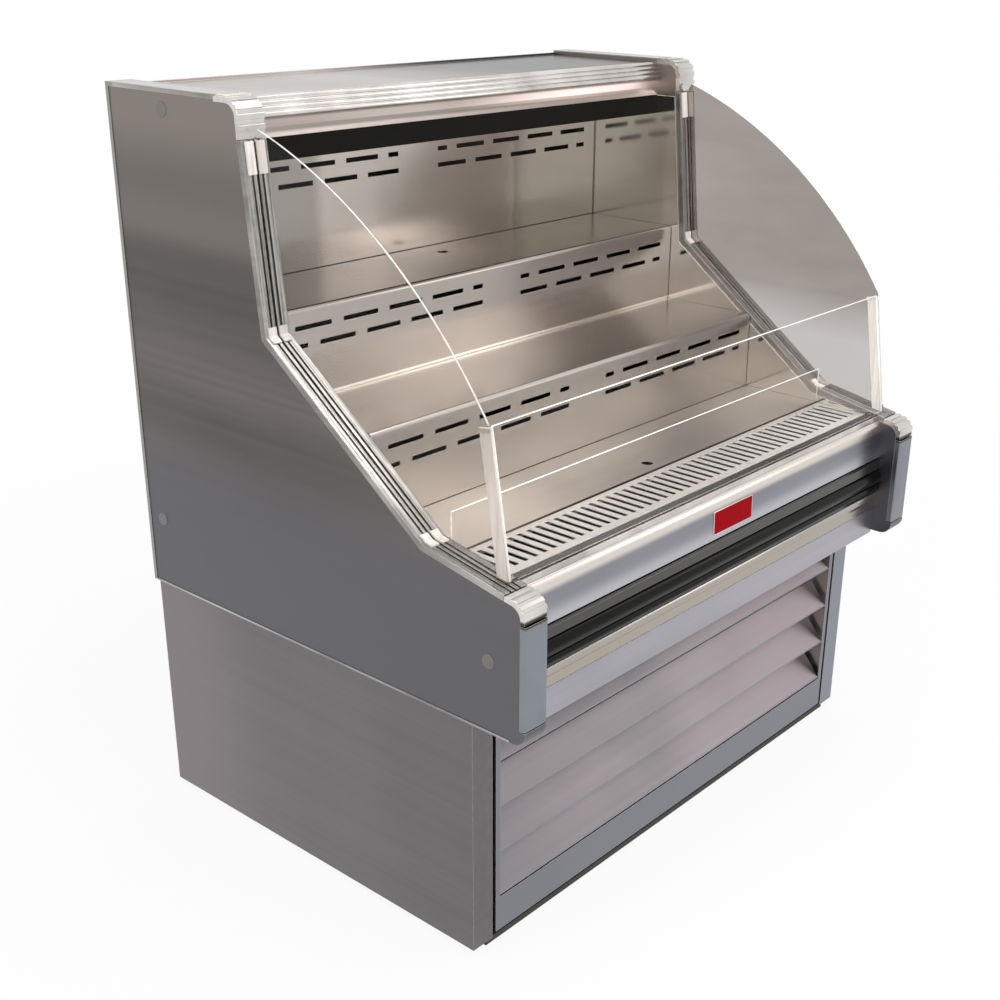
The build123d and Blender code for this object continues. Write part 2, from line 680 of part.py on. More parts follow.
def condenser_coil():
    """Finned condenser block between two end plates."""
    x0, x1, z0, z1 = CONDENSER
    core = box(x0 + 3, x1 - 3, 226.0, 284.0, z0 + 5, z1 - 5)
    for i in range(10):
        x = x0 + 14 + (x1 - x0 - 28) * i / 9
        core -= box(x - 3, x + 3, 220.0, 240.0, z0, z1)
    core += box(x0, x0 + 3, 222.0, 288.0, 33.0, z1)
    core += box(x1 - 3, x1, 222.0, 288.0, 33.0, z1)
    return core


def condenser_shroud():
    """Fan shroud: a shallow hood with a round throat."""
    x0, x1, z0, z1 = CONDENSER
    x, z = (x0 + x1) / 2, (z0 + z1) / 2
    hood = box(x0, x1, 288.0, 340.0, z0, z1) - box(x0 + 3, x1 - 3, 280.0, 337.0, z0 + 3, z1 - 3)
    hood -= turned_y(x, 348, z, extrude(RegularPolygon(156, 28), 20))
    ring = extrude(RegularPolygon(160, 28), 30) - extrude(RegularPolygon(156, 28), 30)
    return hood + turned_y(x, 367, z, ring)


def fan_rotor(radius, hub, depth, chord, bore):
    """Five-bladed axial fan about Z with a bore for the motor shaft."""
    rotor = Pos(0, 0, -depth / 2) * extrude(RegularPolygon(hub, 15), depth)
    tip, root = chord / 2, chord / 3
    reach = (radius ** 2 - tip ** 2) ** 0.5
    outline = [(hub - 8, -root), (reach, -tip), (radius, 0), (reach, tip), (hub - 8, root)]
    sheet = Pos(0, 0, -1.2) * extrude(side_face(outline), 2.4)
    for i in range(5):
        rotor += Rot(0, 0, 72 * i) * Rot(28, 0, 0) * sheet
    return rotor - Cylinder(bore, depth * 3)


def condenser_fan():
    x0, x1, z0, z1 = CONDENSER
    fan = fan_rotor(148, 34, 30, 66, 4.05)
    return turned_y((x0 + x1) / 2, FAN_Y, (z0 + z1) / 2, fan)


def condenser_motor():
    """Fan motor with its shaft, on a bracket that stands on the tray."""
    x0, x1, z0, z1 = CONDENSER
    x, z = (x0 + x1) / 2, (z0 + z1) / 2
    body = turned_y(x, 465, z, extrude(RegularPolygon(42, 14), 70))
    body += turned_y(x, 370, z, Cylinder(4, 64))
    bracket = box(x - 30, x + 30, 444.0, 450.0, 33.0, z)
    bracket += box(x - 30, x + 30, 420.0, 480.0, 33.0, 37.0)
    return body + bracket


def filter_drier():
    """Filter drier in the liquid line, on a saddle."""
    can = Pos(0, 0, -38) * extrude(RegularPolygon(22, 12), 76)
    for side in (0, 180):
        can += Rot(side, 0, 0) * Pos(0, 0, 38) * extrude(RegularPolygon(22, 12), 12, taper=50)
        can += Rot(side, 0, 0) * Pos(0, 0, 38) * extrude(RegularPolygon(7, 12), 22)
    return Pos(20, 255, 90) * Rot(0, 90, 0) * can + box(12.0, 28.0, 245.0, 265.0, 33.0, 72.0)


def refrigerant_lines():
    """Discharge, liquid, riser and suction lines of bare tube."""
    cx, cy = COMPRESSOR
    px, py = PIPE_HOLE
    discharge = [
        (cx - 98, cy, 185), (120, cy, 185), (120, cy, 430), (120, 255, 430), (-90, 255, 430),
        (-90, 255, 380), (CONDENSER[1], 255, 380),
    ]
    liquid = [(CONDENSER[1], 255, 90), (-40, 255, 90)]
    riser = [(80, 255, 90), (112, 255, 90), (112, py, 90), (112, py, 440), (px - 7, py, 440),
             (px - 7, py, 556)]
    suction = [(px + 7, py, 556), (px + 7, py, 300), (cx, py, 300), (cx, py, 200),
               (cx, cy + 98, 200)]
    return [tube(run, 4) for run in (discharge, liquid, riser, suction)]


def condensate_tray():
    """Open tray under the tank's drain, where melt water evaporates."""
    tray = box(120.0, 480.0, 770.0, 940.0, 33.0, 93.0)
    return tray - box(122.5, 477.5, 772.5, 937.5, 35.5, 100.0)


def drain_pipe():
    """Drain from the tank's floor down into the tray."""
    pipe = extrude(RegularPolygon(9.2, 12), 470) - extrude(RegularPolygon(7, 12), 470)
    return Pos(*DRAIN, 70) * pipe


def control_box():
    """Control box behind the louvred panel, with seats for the knob and the rocker."""
    case = chamfer(box(400.0, 560.0, 236.0, 320.0, 250.0, 400.0).edges().filter_by(Axis.Y), 5)
    case -= turned_y(KNOB[0], 236, KNOB[1], Cylinder(4.08, 30))
    x, z = ROCKER
    case -= box(x - 16, x + 16, 226.0, 255.0, z - 13.5, z + 13.5)
    case -= Pos(x, ROCKER_AXIS_Y, z) * Rot(0, 90, 0) * Cylinder(2.05, 40)
    return case + box(470.0, 490.0, 300.0, 320.0, 33.0, 252.0)


def thermostat_knob():
    """Round knob with a grip bar and its shaft."""
    x, z = KNOB
    knob = turned_y(x, 234, z, extrude(RegularPolygon(19, 16), 14, taper=5))
    knob += box(x - 2.5, x + 2.5, 213.0, 222.0, z - 16, z + 16)
    return knob + turned_y(x, 241, z, Cylinder(4.0, 18))


def power_switch():
    """Rocker of the main switch on two pivot pins, at rest tipped to off."""
    x, z = ROCKER
    outline = [(-10, -11), (-7.5, 0), (-10, 11), (3.5, 11), (6.5, 0), (3.5, -11)]
    rocker = across(outline, x - 15.5, x + 15.5)
    rocker += Pos(x, 0, 0) * Rot(0, 90, 0) * Cylinder(2.0, 38)
    return Pos(0, ROCKER_AXIS_Y, z) * Rot(8, 0, 0) * rocker


def power_inlet():
    """Cable gland in the rear panel: collar outside, lock nut inside."""
    gland = extrude(RegularPolygon(15, 8), 1.8) + extrude(RegularPolygon(11.9, 16), 4.0)
    gland += Pos(0, 0, 3.9) * extrude(RegularPolygon(16, 6), 12.1)
    return turned_y(GLAND[0], 1009.9, GLAND[1], gland - Cylinder(5, 60))


# ---- evaporator and fans in the tank -------------------------------------------------------------
def evaporator_coil():
    """Finned evaporator under the tiers, standing on the tank's floor."""
    core = box(-470.0, 470.0, 520.0, 720.0, 556.0, 700.0)
    for i in range(12):
        x = -450 + 900 * i / 11
        core -= box(x - 4, x + 4, 510.0, 560.0, 550.0, 710.0)
    core += box(-476.0, -470.0, 512.0, 728.0, 540.0, 708.0)
    core += box(470.0, 476.0, 512.0, 728.0, 540.0, 708.0)
    return core


def evaporator_fan_plate():
    """Plate across the tank with a round opening for each fan."""
    plate = box(-LINER_X, LINER_X, 440.0, 442.0, 540.0, 728.0)
    plate += box(-LINER_X, LINER_X, 442.0, 462.0, 726.0, 728.0)
    for x in COOLER_FAN_X:
        plate -= turned_y(x, 446, 634, extrude(RegularPolygon(81, 24), 10))
    return plate


def evaporator_fan(x):
    return turned_y(x, 420, 634, fan_rotor(75, 20, 24, 44, 3.05))


def evaporator_motors():
    """Fan motors with shafts, each on an upright that stands on the tank's floor."""
    made = []
    for x in COOLER_FAN_X:
        motor = turned_y(x, 397, 634, extrude(RegularPolygon(26, 12), 50))
        motor += turned_y(x, 414, 634, Cylinder(3, 36))
        motor += box(x - 20, x + 20, 362.0, 366.0, 540.0, 634.0)
        made.append(motor + box(x - 20, x + 20, 345.0, 385.0, 540.0, 543.0))
    return made


def panel_catches():
    """Spring catches on the frame that hold the louvred panel."""
    made = []
    for x in (-450.0, 450.0):
        for z in (2.0, 450.0):
            made.append(box(x - 25, x + 25, 179.5, 182.0, z + 10, z + 26))
    return made


# ---- write every node ------------------------------------------------------------------------------
def pair(name, shape):
    """Write a left-hand piece and its mirror image."""
    save(f"{name}_left", shape)
    save(f"{name}_right", mirrored(shape))


pair("end_panel", end_panel())
pair("side_guard", side_guard())
pair("base_side", base_side())
for name, piece in (
    ("top_caps", top_cap()), ("nose_caps", nose_cap()), ("nose_bars", nose_bar()),
    ("guard_posts", guard_post()), ("edge_channels", edge_channel()),
    ("edge_trims", edge_trim()), ("side_liners", side_liner()),
):
    save(name, piece, mirrored(piece))
clips = guard_clips()
save("guard_clips", clips, [mirrored(clip) for clip in clips])
caps = [plug_cap(y, z) for y, z in PLUGS]
save("plug_caps", caps, [mirrored(cap) for cap in caps])
save("tier_ledges", tier_ledges())
save("insulated_tank", insulated_tank())
save("back_skin", back_skin())
save("canopy_top", canopy_top())
save("canopy_front", canopy_front())
save("canopy_trim", canopy_trim())
save("air_honeycomb", air_honeycomb())
save("canopy_liner", canopy_liner())
save("back_wall", back_wall())
save("upper_tier", upper_tier())
save("lower_tier", lower_tier())
save("deck_pan", deck_pan())
save("product_stop", product_stop())
save("return_grille", return_grille())
save("sill_nose", sill_nose())
save("guard_seat", guard_seat())
save("bumper_rail", bumper_rail())
save("bumper_insert", bumper_insert())
save("fascia_panel", fascia_panel())
save("front_guard", front_guard())
save("base_back", base_back())
save("base_runners", base_runners())
save("base_frame", base_frame())
save("louver_panel", louver_panel())
save("unit_tray", unit_tray())
save("compressor", compressor())
save("condenser_coil", condenser_coil())
save("condenser_shroud", condenser_shroud())
save("condenser_fan", condenser_fan())
save("condenser_motor", condenser_motor())
save("filter_drier", filter_drier())
save("refrigerant_lines", refrigerant_lines())
save("condensate_tray", condensate_tray())
save("drain_pipe", drain_pipe())
save("control_box", control_box())
save("thermostat_knob", thermostat_knob())
save("power_switch", power_switch())
save("power_inlet", power_inlet())
save("evaporator_coil", evaporator_coil())
save("evaporator_fan_plate", evaporator_fan_plate())
save("evaporator_fan_1", evaporator_fan(COOLER_FAN_X[0]))
save("evaporator_fan_2", evaporator_fan(COOLER_FAN_X[1]))
save("evaporator_motors", evaporator_motors())
save("panel_catches", panel_catches())
print(len(os.listdir("parts")), "nodes written")
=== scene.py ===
# %% [markdown]
# # An open multideck display fridge
#
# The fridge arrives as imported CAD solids: panels, pans, guards and a cooling unit, each
# already in its place. This lesson dresses them. It sets up a camera and plain studio
# light, makes a procedural finish for every solid, and adds the few small pieces that are
# too fine for CAD, such as the polished rims of the clear guards.

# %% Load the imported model
from math import atan2, cos, hypot, pi, radians, sin

import bmesh
import bpy
from mathutils import Matrix, Vector


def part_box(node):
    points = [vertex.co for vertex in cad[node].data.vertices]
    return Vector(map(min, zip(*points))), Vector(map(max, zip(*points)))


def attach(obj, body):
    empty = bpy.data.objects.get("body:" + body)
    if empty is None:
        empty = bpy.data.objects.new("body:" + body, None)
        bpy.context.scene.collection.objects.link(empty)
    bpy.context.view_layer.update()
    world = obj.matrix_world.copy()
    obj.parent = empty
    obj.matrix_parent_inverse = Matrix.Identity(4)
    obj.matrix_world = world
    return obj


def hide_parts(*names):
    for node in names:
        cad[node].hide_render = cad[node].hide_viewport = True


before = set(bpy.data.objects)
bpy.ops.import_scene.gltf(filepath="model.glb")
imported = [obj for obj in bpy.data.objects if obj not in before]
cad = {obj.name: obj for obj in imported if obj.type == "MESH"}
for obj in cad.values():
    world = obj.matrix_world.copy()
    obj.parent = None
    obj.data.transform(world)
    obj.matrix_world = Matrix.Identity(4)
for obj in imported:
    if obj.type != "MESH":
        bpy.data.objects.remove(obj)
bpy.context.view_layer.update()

# %% [markdown]
# ## Coordinates
#
# The shop drawing measures in millimetres, back from the nose and up from the underside
# of the base panels. Blender works in metres from the bottom centre of the whole fridge.
# One helper turns a drawing point into a Blender point, so every number below can be read
# off the drawing.

# %% From the drawing to the scene
WIDTH, DEPTH = 1295.0, 1010.0
RUNNER = 12.0                       # the runners lift the base panels by this much
END_T = 55.0                        # thickness of an end panel
TIER_1, TIER_2 = 1085.0, 915.0      # heights of the upper and the lower tier
NOSE_Z = 737.0                      # height of the foremost point
OFFSET = {"X": 0.0, "Y": -DEPTH / 2, "Z": RUNNER}


def at(x, y, z):
    """Drawing point in millimetres as a Blender point in metres."""
    return Vector((x, y - DEPTH / 2, z + RUNNER)) / 1000


print("nose of the fridge at", at(0, 0, NOSE_Z))

# %% [markdown]
# ## Camera
#
# The picture was taken from the front left, a little above the top deck, with the camera
# rolled by about a degree. It is turned in three steps: its roll about its own axis, its
# tilt down, and its heading. The picture was cropped off centre, so the lens has a small
# shift.

# %% Camera
HEADING, TILT, ROLL = radians(-49.816), radians(23.05), radians(0.917)
CAMERA_PLACE = (-2.1644, -1.8255, 1.7104)

lens = bpy.data.cameras.new("camera")
lens.sensor_width = 36.0
lens.lens = 51.33
lens.shift_x, lens.shift_y = -0.0462, 0.0459
lens.clip_start, lens.clip_end = 0.05, 60.0
camera = bpy.data.objects.new("camera", lens)
turn = Matrix.Rotation(HEADING, 4, "Z") @ Matrix.Rotation(pi / 2 - TILT, 4, "X")
turn = turn @ Matrix.Rotation(ROLL, 4, "Z")
camera.matrix_world = Matrix.Translation(CAMERA_PLACE) @ turn
bpy.context.scene.collection.objects.link(camera)
bpy.context.scene.camera = camera
print("camera at", camera.matrix_world.translation)

# %% [markdown]
# ## Node helpers
#
# A finish is a small network of shader nodes. One helper adds a node, sets its options and
# fills its inputs, each with a plain value or with a link from an earlier node. Another
# turns a colour as a screen shows it into the linear values that a shader needs, and the
# last starts a new finish.

# %% Adding nodes
def fill(tree, node, inputs):
    """Fill a node's inputs. Each is a value, or a socket to link it to."""
    for key, value in inputs.items():
        if isinstance(value, bpy.types.NodeSocket):
            tree.links.new(value, node.inputs[key])
        else:
            node.inputs[key].default_value = value
    return node


def add(tree, kind, inputs=None, **settings):
    """Add one shader node with its settings, and fill its inputs."""
    made = tree.nodes.new("ShaderNode" + kind)
    for key, value in settings.items():
        setattr(made, key, value)
    return fill(tree, made, inputs or {})


def screen(red, green, blue):
    """Linear colour for a colour given as 0 to 255 on screen."""
    linear = []
    for value in (red / 255, green / 255, blue / 255):
        linear.append(value / 12.92 if value <= 0.04045 else ((value + 0.055) / 1.055) ** 2.4)
    return (*linear, 1.0)


print("mid grey on screen is", round(screen(128, 128, 128)[0], 3), "for a shader")


# %% Starting a finish
def new_finish(name):
    """Empty material with its Principled shader already linked to the output."""
    made = bpy.data.materials.new(name)
    made.use_nodes = True
    tree = made.node_tree
    tree.nodes.clear()
    out = add(tree, "OutputMaterial")
    shader = add(tree, "BsdfPrincipled")
    tree.links.new(shader.outputs["BSDF"], out.inputs["Surface"])
    return made, tree, shader


def dress(finish, *names):
    """Give a finish to CAD nodes, in their own material slots."""
    for name in names:
        for slot in cad[name].material_slots:
            slot.material = finish


print("finishes can be started")

# %% [markdown]
# ## Floor, world and lamps
#
# Steel shows what is around it, so the room matters as much as the finish. The room is
# white to the camera, to reflections and through the clear guards, while the light that
# falls on the fridge is a calm grey sky and three large lamps. A big lamp makes a soft
# edge. A fourth lamp, tall and narrow, stands to the front right, where the pans and the
# back wall show it as one upright streak.

# %% Floor
FLOOR_HALF = 14.0
FADE_START, FADE_END = 1.2, 3.2     # metres from the fridge over which the floor turns white


def camera_side(tree):
    """One where a ray comes straight from the camera, a reflection or a clear sheet."""
    path = add(tree, "LightPath").outputs
    first = add(tree, "Math", {0: path["Is Camera Ray"], 1: path["Is Glossy Ray"]},
                operation="MAXIMUM")
    both = add(tree, "Math", {0: first.outputs[0], 1: path["Is Transmission Ray"]},
               operation="MAXIMUM")
    return both.outputs[0]


floor_mesh = bpy.data.meshes.new("floor")
shape = bmesh.new()
bmesh.ops.create_grid(shape, x_segments=1, y_segments=1, size=FLOOR_HALF)
shape.to_mesh(floor_mesh)
shape.free()
floor = bpy.data.objects.new("floor", floor_mesh)
bpy.context.scene.collection.objects.link(floor)

floor_paint, tree, shader = new_finish("floor_paint")
shader.inputs["Base Color"].default_value = (0.9, 0.9, 0.9, 1)
shader.inputs["Roughness"].default_value = 0.9
glow = add(tree, "Emission", {"Color": (1, 1, 1, 1), "Strength": 1.0})
reach = add(tree, "VectorMath", {0: add(tree, "TexCoord").outputs["Object"]}, operation="LENGTH")
fade = add(tree, "MapRange", {"Value": reach.outputs["Value"], "From Min": FADE_START,
                              "From Max": FADE_END, "To Min": 0.9, "To Max": 1.0})
share = add(tree, "Math", {0: camera_side(tree), 1: fade.outputs[0]}, operation="MULTIPLY")
blend = add(tree, "MixShader", {0: share.outputs[0], 1: shader.outputs[0], 2: glow.outputs[0]})
tree.links.new(blend.outputs[0], tree.nodes["Material Output"].inputs["Surface"])
floor_mesh.materials.append(floor_paint)
print("floor", tuple(round(v, 1) for v in floor.dimensions))

# %% World
world = bpy.data.worlds.new("room")
bpy.context.scene.world = world
world.use_nodes = True
tree = world.node_tree
tree.nodes.clear()
sky = add(tree, "Background", {"Color": (0.94, 0.96, 1.0, 1), "Strength": 0.55})
wall = add(tree, "Background", {"Color": (1, 1, 1, 1), "Strength": 1.0})
both = add(tree, "MixShader", {0: camera_side(tree), 1: sky.outputs[0], 2: wall.outputs[0]})
add(tree, "OutputWorld", {"Surface": both.outputs[0]})
bpy.context.scene.view_settings.view_transform = "Standard"
print("world ready")


# %% Lamps
def soft_lamp(name, place, aim, wide, high, power, colour):
    """Area lamp that faces a point and is not itself in the picture."""
    data = bpy.data.lights.new(name, "AREA")
    data.shape = "RECTANGLE"
    data.size, data.size_y, data.energy, data.color = wide, high, power, colour
    lamp = bpy.data.objects.new(name, data)
    lamp.location = place
    lamp.rotation_euler = (Vector(aim) - Vector(place)).to_track_quat("-Z", "Y").to_euler()
    lamp.visible_camera = False
    bpy.context.scene.collection.objects.link(lamp)


soft_lamp("lamp_front", (-0.8, -3.4, 2.9), (0, 0, 0.9), 2.2, 2.2, 60, (1.0, 0.97, 0.94))
soft_lamp("lamp_left", (-3.6, 0.4, 2.4), (0, 0, 0.8), 2.0, 2.0, 30, (1.0, 0.96, 0.92))
soft_lamp("lamp_top", (0.3, -0.4, 3.9), (0, 0, 1.0), 2.4, 2.4, 55, (1.0, 0.98, 0.96))
soft_lamp("lamp_strip", (2.0, -2.0, 1.9), (-0.2, 0.2, 0.9), 0.5, 1.6, 5, (1.0, 0.93, 0.88))
print("four lamps")

# %% [markdown]
# ## Effects shared by the finishes
#
# Rolled steel has fine lines along its rolling direction and slow, cloudy changes of tone
# from handling and cleaning. Folded edges are rubbed brighter than faces. Each of these is
# one node group with named inputs, so that a finish only chooses how much of it to show.

# %% A helper for node groups
def new_group(name, inputs, outputs):
    """Shader node group with named float, vector or colour sockets."""
    tree = bpy.data.node_groups.new(name, "ShaderNodeTree")
    for label, kind, value in inputs:
        socket = tree.interface.new_socket(name=label, in_out="INPUT",
                                           socket_type="NodeSocket" + kind)
        if value is not None:
            socket.default_value = value
    for label, kind in outputs:
        tree.interface.new_socket(name=label, in_out="OUTPUT", socket_type="NodeSocket" + kind)
    start = tree.nodes.new("NodeGroupInput")
    end = tree.nodes.new("NodeGroupOutput")
    return tree, start, end


def use(tree, group, inputs):
    """Place a node group in a finish, and fill its inputs."""
    placed = tree.nodes.new("ShaderNodeGroup")
    placed.node_tree = group
    return fill(tree, placed, inputs)


# %% Rolling lines
BROADER = (0.25, 0.25, 0.25)        # the broad lines are four times as wide as the fine ones


def make_rolling_lines():
    """Lines that run along one axis, fine ones for the bump and broad ones for the tone."""
    tree, start, end = new_group(
        "Rolling Lines",
        [("Position", "Vector", None), ("Stretch", "Vector", (6, 700, 700)),
         ("Wander", "Float", 2.0)],
        [("Height", "Float"), ("Tone", "Float")],
    )
    scaled = add(tree, "VectorMath", {0: start.outputs["Position"], 1: start.outputs["Stretch"]},
                 operation="MULTIPLY")
    fine = add(tree, "TexNoise", {"Vector": scaled.outputs[0], "Scale": 1.0,
                                  "Detail": start.outputs["Wander"], "Roughness": 0.65})
    broad_at = add(tree, "VectorMath", {0: scaled.outputs[0], 1: BROADER}, operation="MULTIPLY")
    broad = add(tree, "TexNoise", {"Vector": broad_at.outputs[0], "Scale": 1.0, "Detail": 1.0})
    tree.links.new(fine.outputs["Fac"], end.inputs["Height"])
    tree.links.new(broad.outputs["Fac"], end.inputs["Tone"])
    return tree


rolling_lines = make_rolling_lines()
print("group", rolling_lines.name)


# %% Cloudy tone
def make_clouds():
    """Slow changes of tone, from 0 to 1, centred on one half."""
    tree, start, end = new_group(
        "Cloudy Tone",
        [("Position", "Vector", None), ("Stretch", "Vector", (3, 2, 5)),
         ("Contrast", "Float", 2.2)],
        [("Mask", "Float")],
    )
    scaled = add(tree, "VectorMath", {0: start.outputs["Position"], 1: start.outputs["Stretch"]},
                 operation="MULTIPLY")
    cloud = add(tree, "TexNoise", {"Vector": scaled.outputs[0], "Scale": 1.0, "Detail": 3.0,
                                   "Roughness": 0.5, "Distortion": 0.4})
    centred = add(tree, "Math", {0: cloud.outputs["Fac"], 1: 0.5}, operation="SUBTRACT")
    spread = add(tree, "Math", {0: centred.outputs[0], 1: start.outputs["Contrast"], 2: 0.5},
                 operation="MULTIPLY_ADD", use_clamp=True)
    tree.links.new(spread.outputs[0], end.inputs["Mask"])
    return tree


cloudy_tone = make_clouds()
print("group", cloudy_tone.name)


# %% Rubbed edges
ON_FACE, ON_EDGE = 0.995, 0.85      # how well the rounded normal agrees with the face's own


def make_rubbed_edges():
    """One near a folded or cut edge, nought on a face, broken up by noise."""
    tree, start, end = new_group(
        "Rubbed Edges",
        [("Position", "Vector", None), ("Reach", "Float", 0.0015), ("Breakup", "Float", 90.0)],
        [("Mask", "Float"), ("Normal", "Vector")],
    )
    face = add(tree, "NewGeometry")
    rounded = add(tree, "Bevel", {"Radius": start.outputs["Reach"]}, samples=4)
    agree = add(tree, "VectorMath", {0: face.outputs["Normal"], 1: rounded.outputs[0]},
                operation="DOT_PRODUCT")
    edge = add(tree, "MapRange", {"Value": agree.outputs["Value"], "From Min": ON_FACE,
                                  "From Max": ON_EDGE, "To Min": 0.0, "To Max": 1.0})
    spots = add(tree, "TexNoise", {"Vector": start.outputs["Position"],
                                   "Scale": start.outputs["Breakup"], "Detail": 2.0})
    broken = add(tree, "MapRange", {"Value": spots.outputs["Fac"], "From Min": 0.3,
                                    "From Max": 0.6, "To Min": 0.4, "To Max": 1.0})
    mask = add(tree, "Math", {0: edge.outputs[0], 1: broken.outputs[0]}, operation="MULTIPLY")
    tree.links.new(mask.outputs[0], end.inputs["Mask"])
    tree.links.new(rounded.outputs[0], end.inputs["Normal"])
    return tree


rubbed_edges = make_rubbed_edges()
print("group", rubbed_edges.name)

# %% [markdown]
# ## Steel
#
# Every steel on the fridge is the same recipe with its own numbers: two tones mixed by the
# clouds, rolling lines in the bump and the roughness, and brighter rubbed edges. Metal has
# no colour of its own beyond its reflection, so the two tones are what sets a dull base
# panel apart from a bright nosing. A sheet may also take on other tones along an axis, its
# zones, and get lighter or darker in bands along its height, its shades. These are mostly
# painted light: painted highlights, painted shade and painted reflections of the room.

# %% Zones and shades
SCREEN_GAMMA = 2.2


def zoned(tree, parted, colour, zones):
    """Colour that takes on a zone's tone between two drawing positions on an axis."""
    for axis, first, last, tone in zones:
        share = add(tree, "MapRange", {"Value": parted.outputs[axis],
                                       "From Min": (first + OFFSET[axis]) / 1000,
                                       "From Max": (last + OFFSET[axis]) / 1000},
                    interpolation_type="SMOOTHSTEP")
        part = add(tree, "Mix", {"Factor": share.outputs[0], "A": colour, "B": tone},
                   data_type="RGBA")
        colour = part.outputs["Result"]
    return colour


def shaded(tree, parted, colour, shades):
    """Painted reflection: colour lighter or darker along the height, by gains seen on screen."""
    low, high = shades[0][0], shades[-1][0]
    share = add(tree, "MapRange", {"Value": parted.outputs["Z"], "From Min": (low + RUNNER) / 1000,
                                   "From Max": (high + RUNNER) / 1000})
    ramp = add(tree, "ValToRGB", {"Fac": share.outputs[0]})
    ramp.color_ramp.interpolation = "EASE"
    stops = ramp.color_ramp.elements
    for z, _ in shades[1:-1]:
        stops.new((z - low) / (high - low))
    for stop, (_, gain) in zip(stops, shades):
        stop.color = (*[gain ** SCREEN_GAMMA / 2] * 3, 1)
    halved = add(tree, "VectorMath", {0: colour, 1: ramp.outputs["Color"]}, operation="MULTIPLY")
    doubled = add(tree, "VectorMath", {0: halved.outputs[0], "Scale": 2.0}, operation="SCALE")
    return doubled.outputs[0]


print("a gain of 0.9 on screen is", round(0.9 ** SCREEN_GAMMA, 3), "for a shader")

# %% Steel recipe
LINES_ALONG = {"x": (3, 260, 260), "y": (260, 3, 260), "z": (260, 260, 3)}
RUBBED_STEEL = screen(236, 232, 228)
GLOSS_CHANGE = 0.04


def steel(name, dark, light, rough, along, clouds, contrast=1.4, relief=0.03, zones=(),
          metal=1.0, shades=()):
    """Steel sheet: two tones, its roughness, the axis of its lines and its clouds.

    A zone is an axis, a start, an end and a tone. The sheet takes on that tone as the
    drawing position along the axis goes from the start to the end, mostly to paint
    highlights, shade and reflections. Shades are pairs of a drawing height and a gain, from
    low to high, for a painted reflection of a banded room.
    """
    made, tree, shader = new_finish(name)
    place = add(tree, "TexCoord").outputs["Object"]
    lines = use(tree, rolling_lines, {"Position": place, "Stretch": LINES_ALONG[along]})
    cloud = use(tree, cloudy_tone, {"Position": place, "Stretch": clouds, "Contrast": contrast})
    streaked = add(tree, "Math", {0: lines.outputs["Tone"], 1: 0.5}, operation="SUBTRACT")
    mixed = add(tree, "Math", {0: streaked.outputs[0], 1: 0.5, 2: cloud.outputs["Mask"]},
                operation="MULTIPLY_ADD", use_clamp=True)
    tone = add(tree, "Mix", {"Factor": mixed.outputs[0], "A": dark, "B": light}, data_type="RGBA")
    parted = add(tree, "SeparateXYZ", {"Vector": place})
    colour = zoned(tree, parted, tone.outputs["Result"], zones)
    if shades:
        colour = shaded(tree, parted, colour, shades)
    rubbed = use(tree, rubbed_edges, {"Position": place})
    shine = add(tree, "Math", {0: rubbed.outputs["Mask"], 1: 0.5}, operation="MULTIPLY")
    worn = add(tree, "Mix", {"Factor": shine.outputs[0], "A": colour, "B": RUBBED_STEEL},
               data_type="RGBA")
    gloss = add(tree, "MapRange", {"Value": mixed.outputs[0], "To Min": rough + GLOSS_CHANGE,
                                   "To Max": rough - GLOSS_CHANGE})
    bump = add(tree, "Bump", {"Height": lines.outputs["Height"], "Strength": relief,
                              "Distance": 0.0004, "Normal": rubbed.outputs["Normal"]})
    tree.links.new(worn.outputs["Result"], shader.inputs["Base Color"])
    tree.links.new(gloss.outputs[0], shader.inputs["Roughness"])
    tree.links.new(bump.outputs[0], shader.inputs["Normal"])
    shader.inputs["Metallic"].default_value = metal
    return made


print("steel recipe ready")

# %% [markdown]
# ## Which steel goes where
#
# The outer skins are a dull brushed sheet, the display is lined with a brighter and
# glossier one, and everything that a hand or a trolley meets is a bright trim. A few
# sheets change tone along one axis, for example where the end panels hang into the cooler
# light near the floor, and these get a zone. Most of these zones are painted light:
# painted highlights, painted shade and painted reflections.

# %% End panels and base
# The end panels get painted reflections: warmer at the top, cooler near the floor, and the
# room mirrored in bands.
panel_steel = steel(
    "panel_steel", screen(90, 86, 84), screen(118, 113, 110), 0.36, "y", (1.6, 1.0, 3.6),
    contrast=1.5,
    zones=[("Z", 1130, 1260, screen(120, 114, 109)), ("Z", 900, 620, screen(102, 102, 107))],
    shades=[(770, 1.0), (870, 0.91), (970, 1.02), (1050, 0.96), (1110, 0.89), (1165, 0.87),
            (1212, 1.0), (1295, 0.94), (1410, 1.1)],
)
dress(panel_steel, "end_panel_left", "end_panel_right")
# Painted reflection: the base side turns lighter and pinker towards the back.
base_steel = steel(
    "base_steel", screen(108, 106, 108), screen(128, 124, 126), 0.42, "y", (2, 1.6, 1.2),
    zones=[("Y", 620, 990, screen(134, 127, 129))],
)
dress(base_steel, "base_side_left")
rear_steel = steel(
    "rear_steel", screen(112, 109, 109), screen(142, 138, 137), 0.4, "x", (1.2, 2, 0.9),
    contrast=2.2,
)
dress(rear_steel, "base_back", "back_skin")
print("end panels and base done")

# %% Louvred front of the base
SIDE_FLANGE_Y = 131.0               # the base side's front flange lies in front of this
FRAME_Y = 129.0                     # the louvre frame's flat front lies in front of this
BLADE_END = 564.2                   # the blades end here and the frame's stiles begin
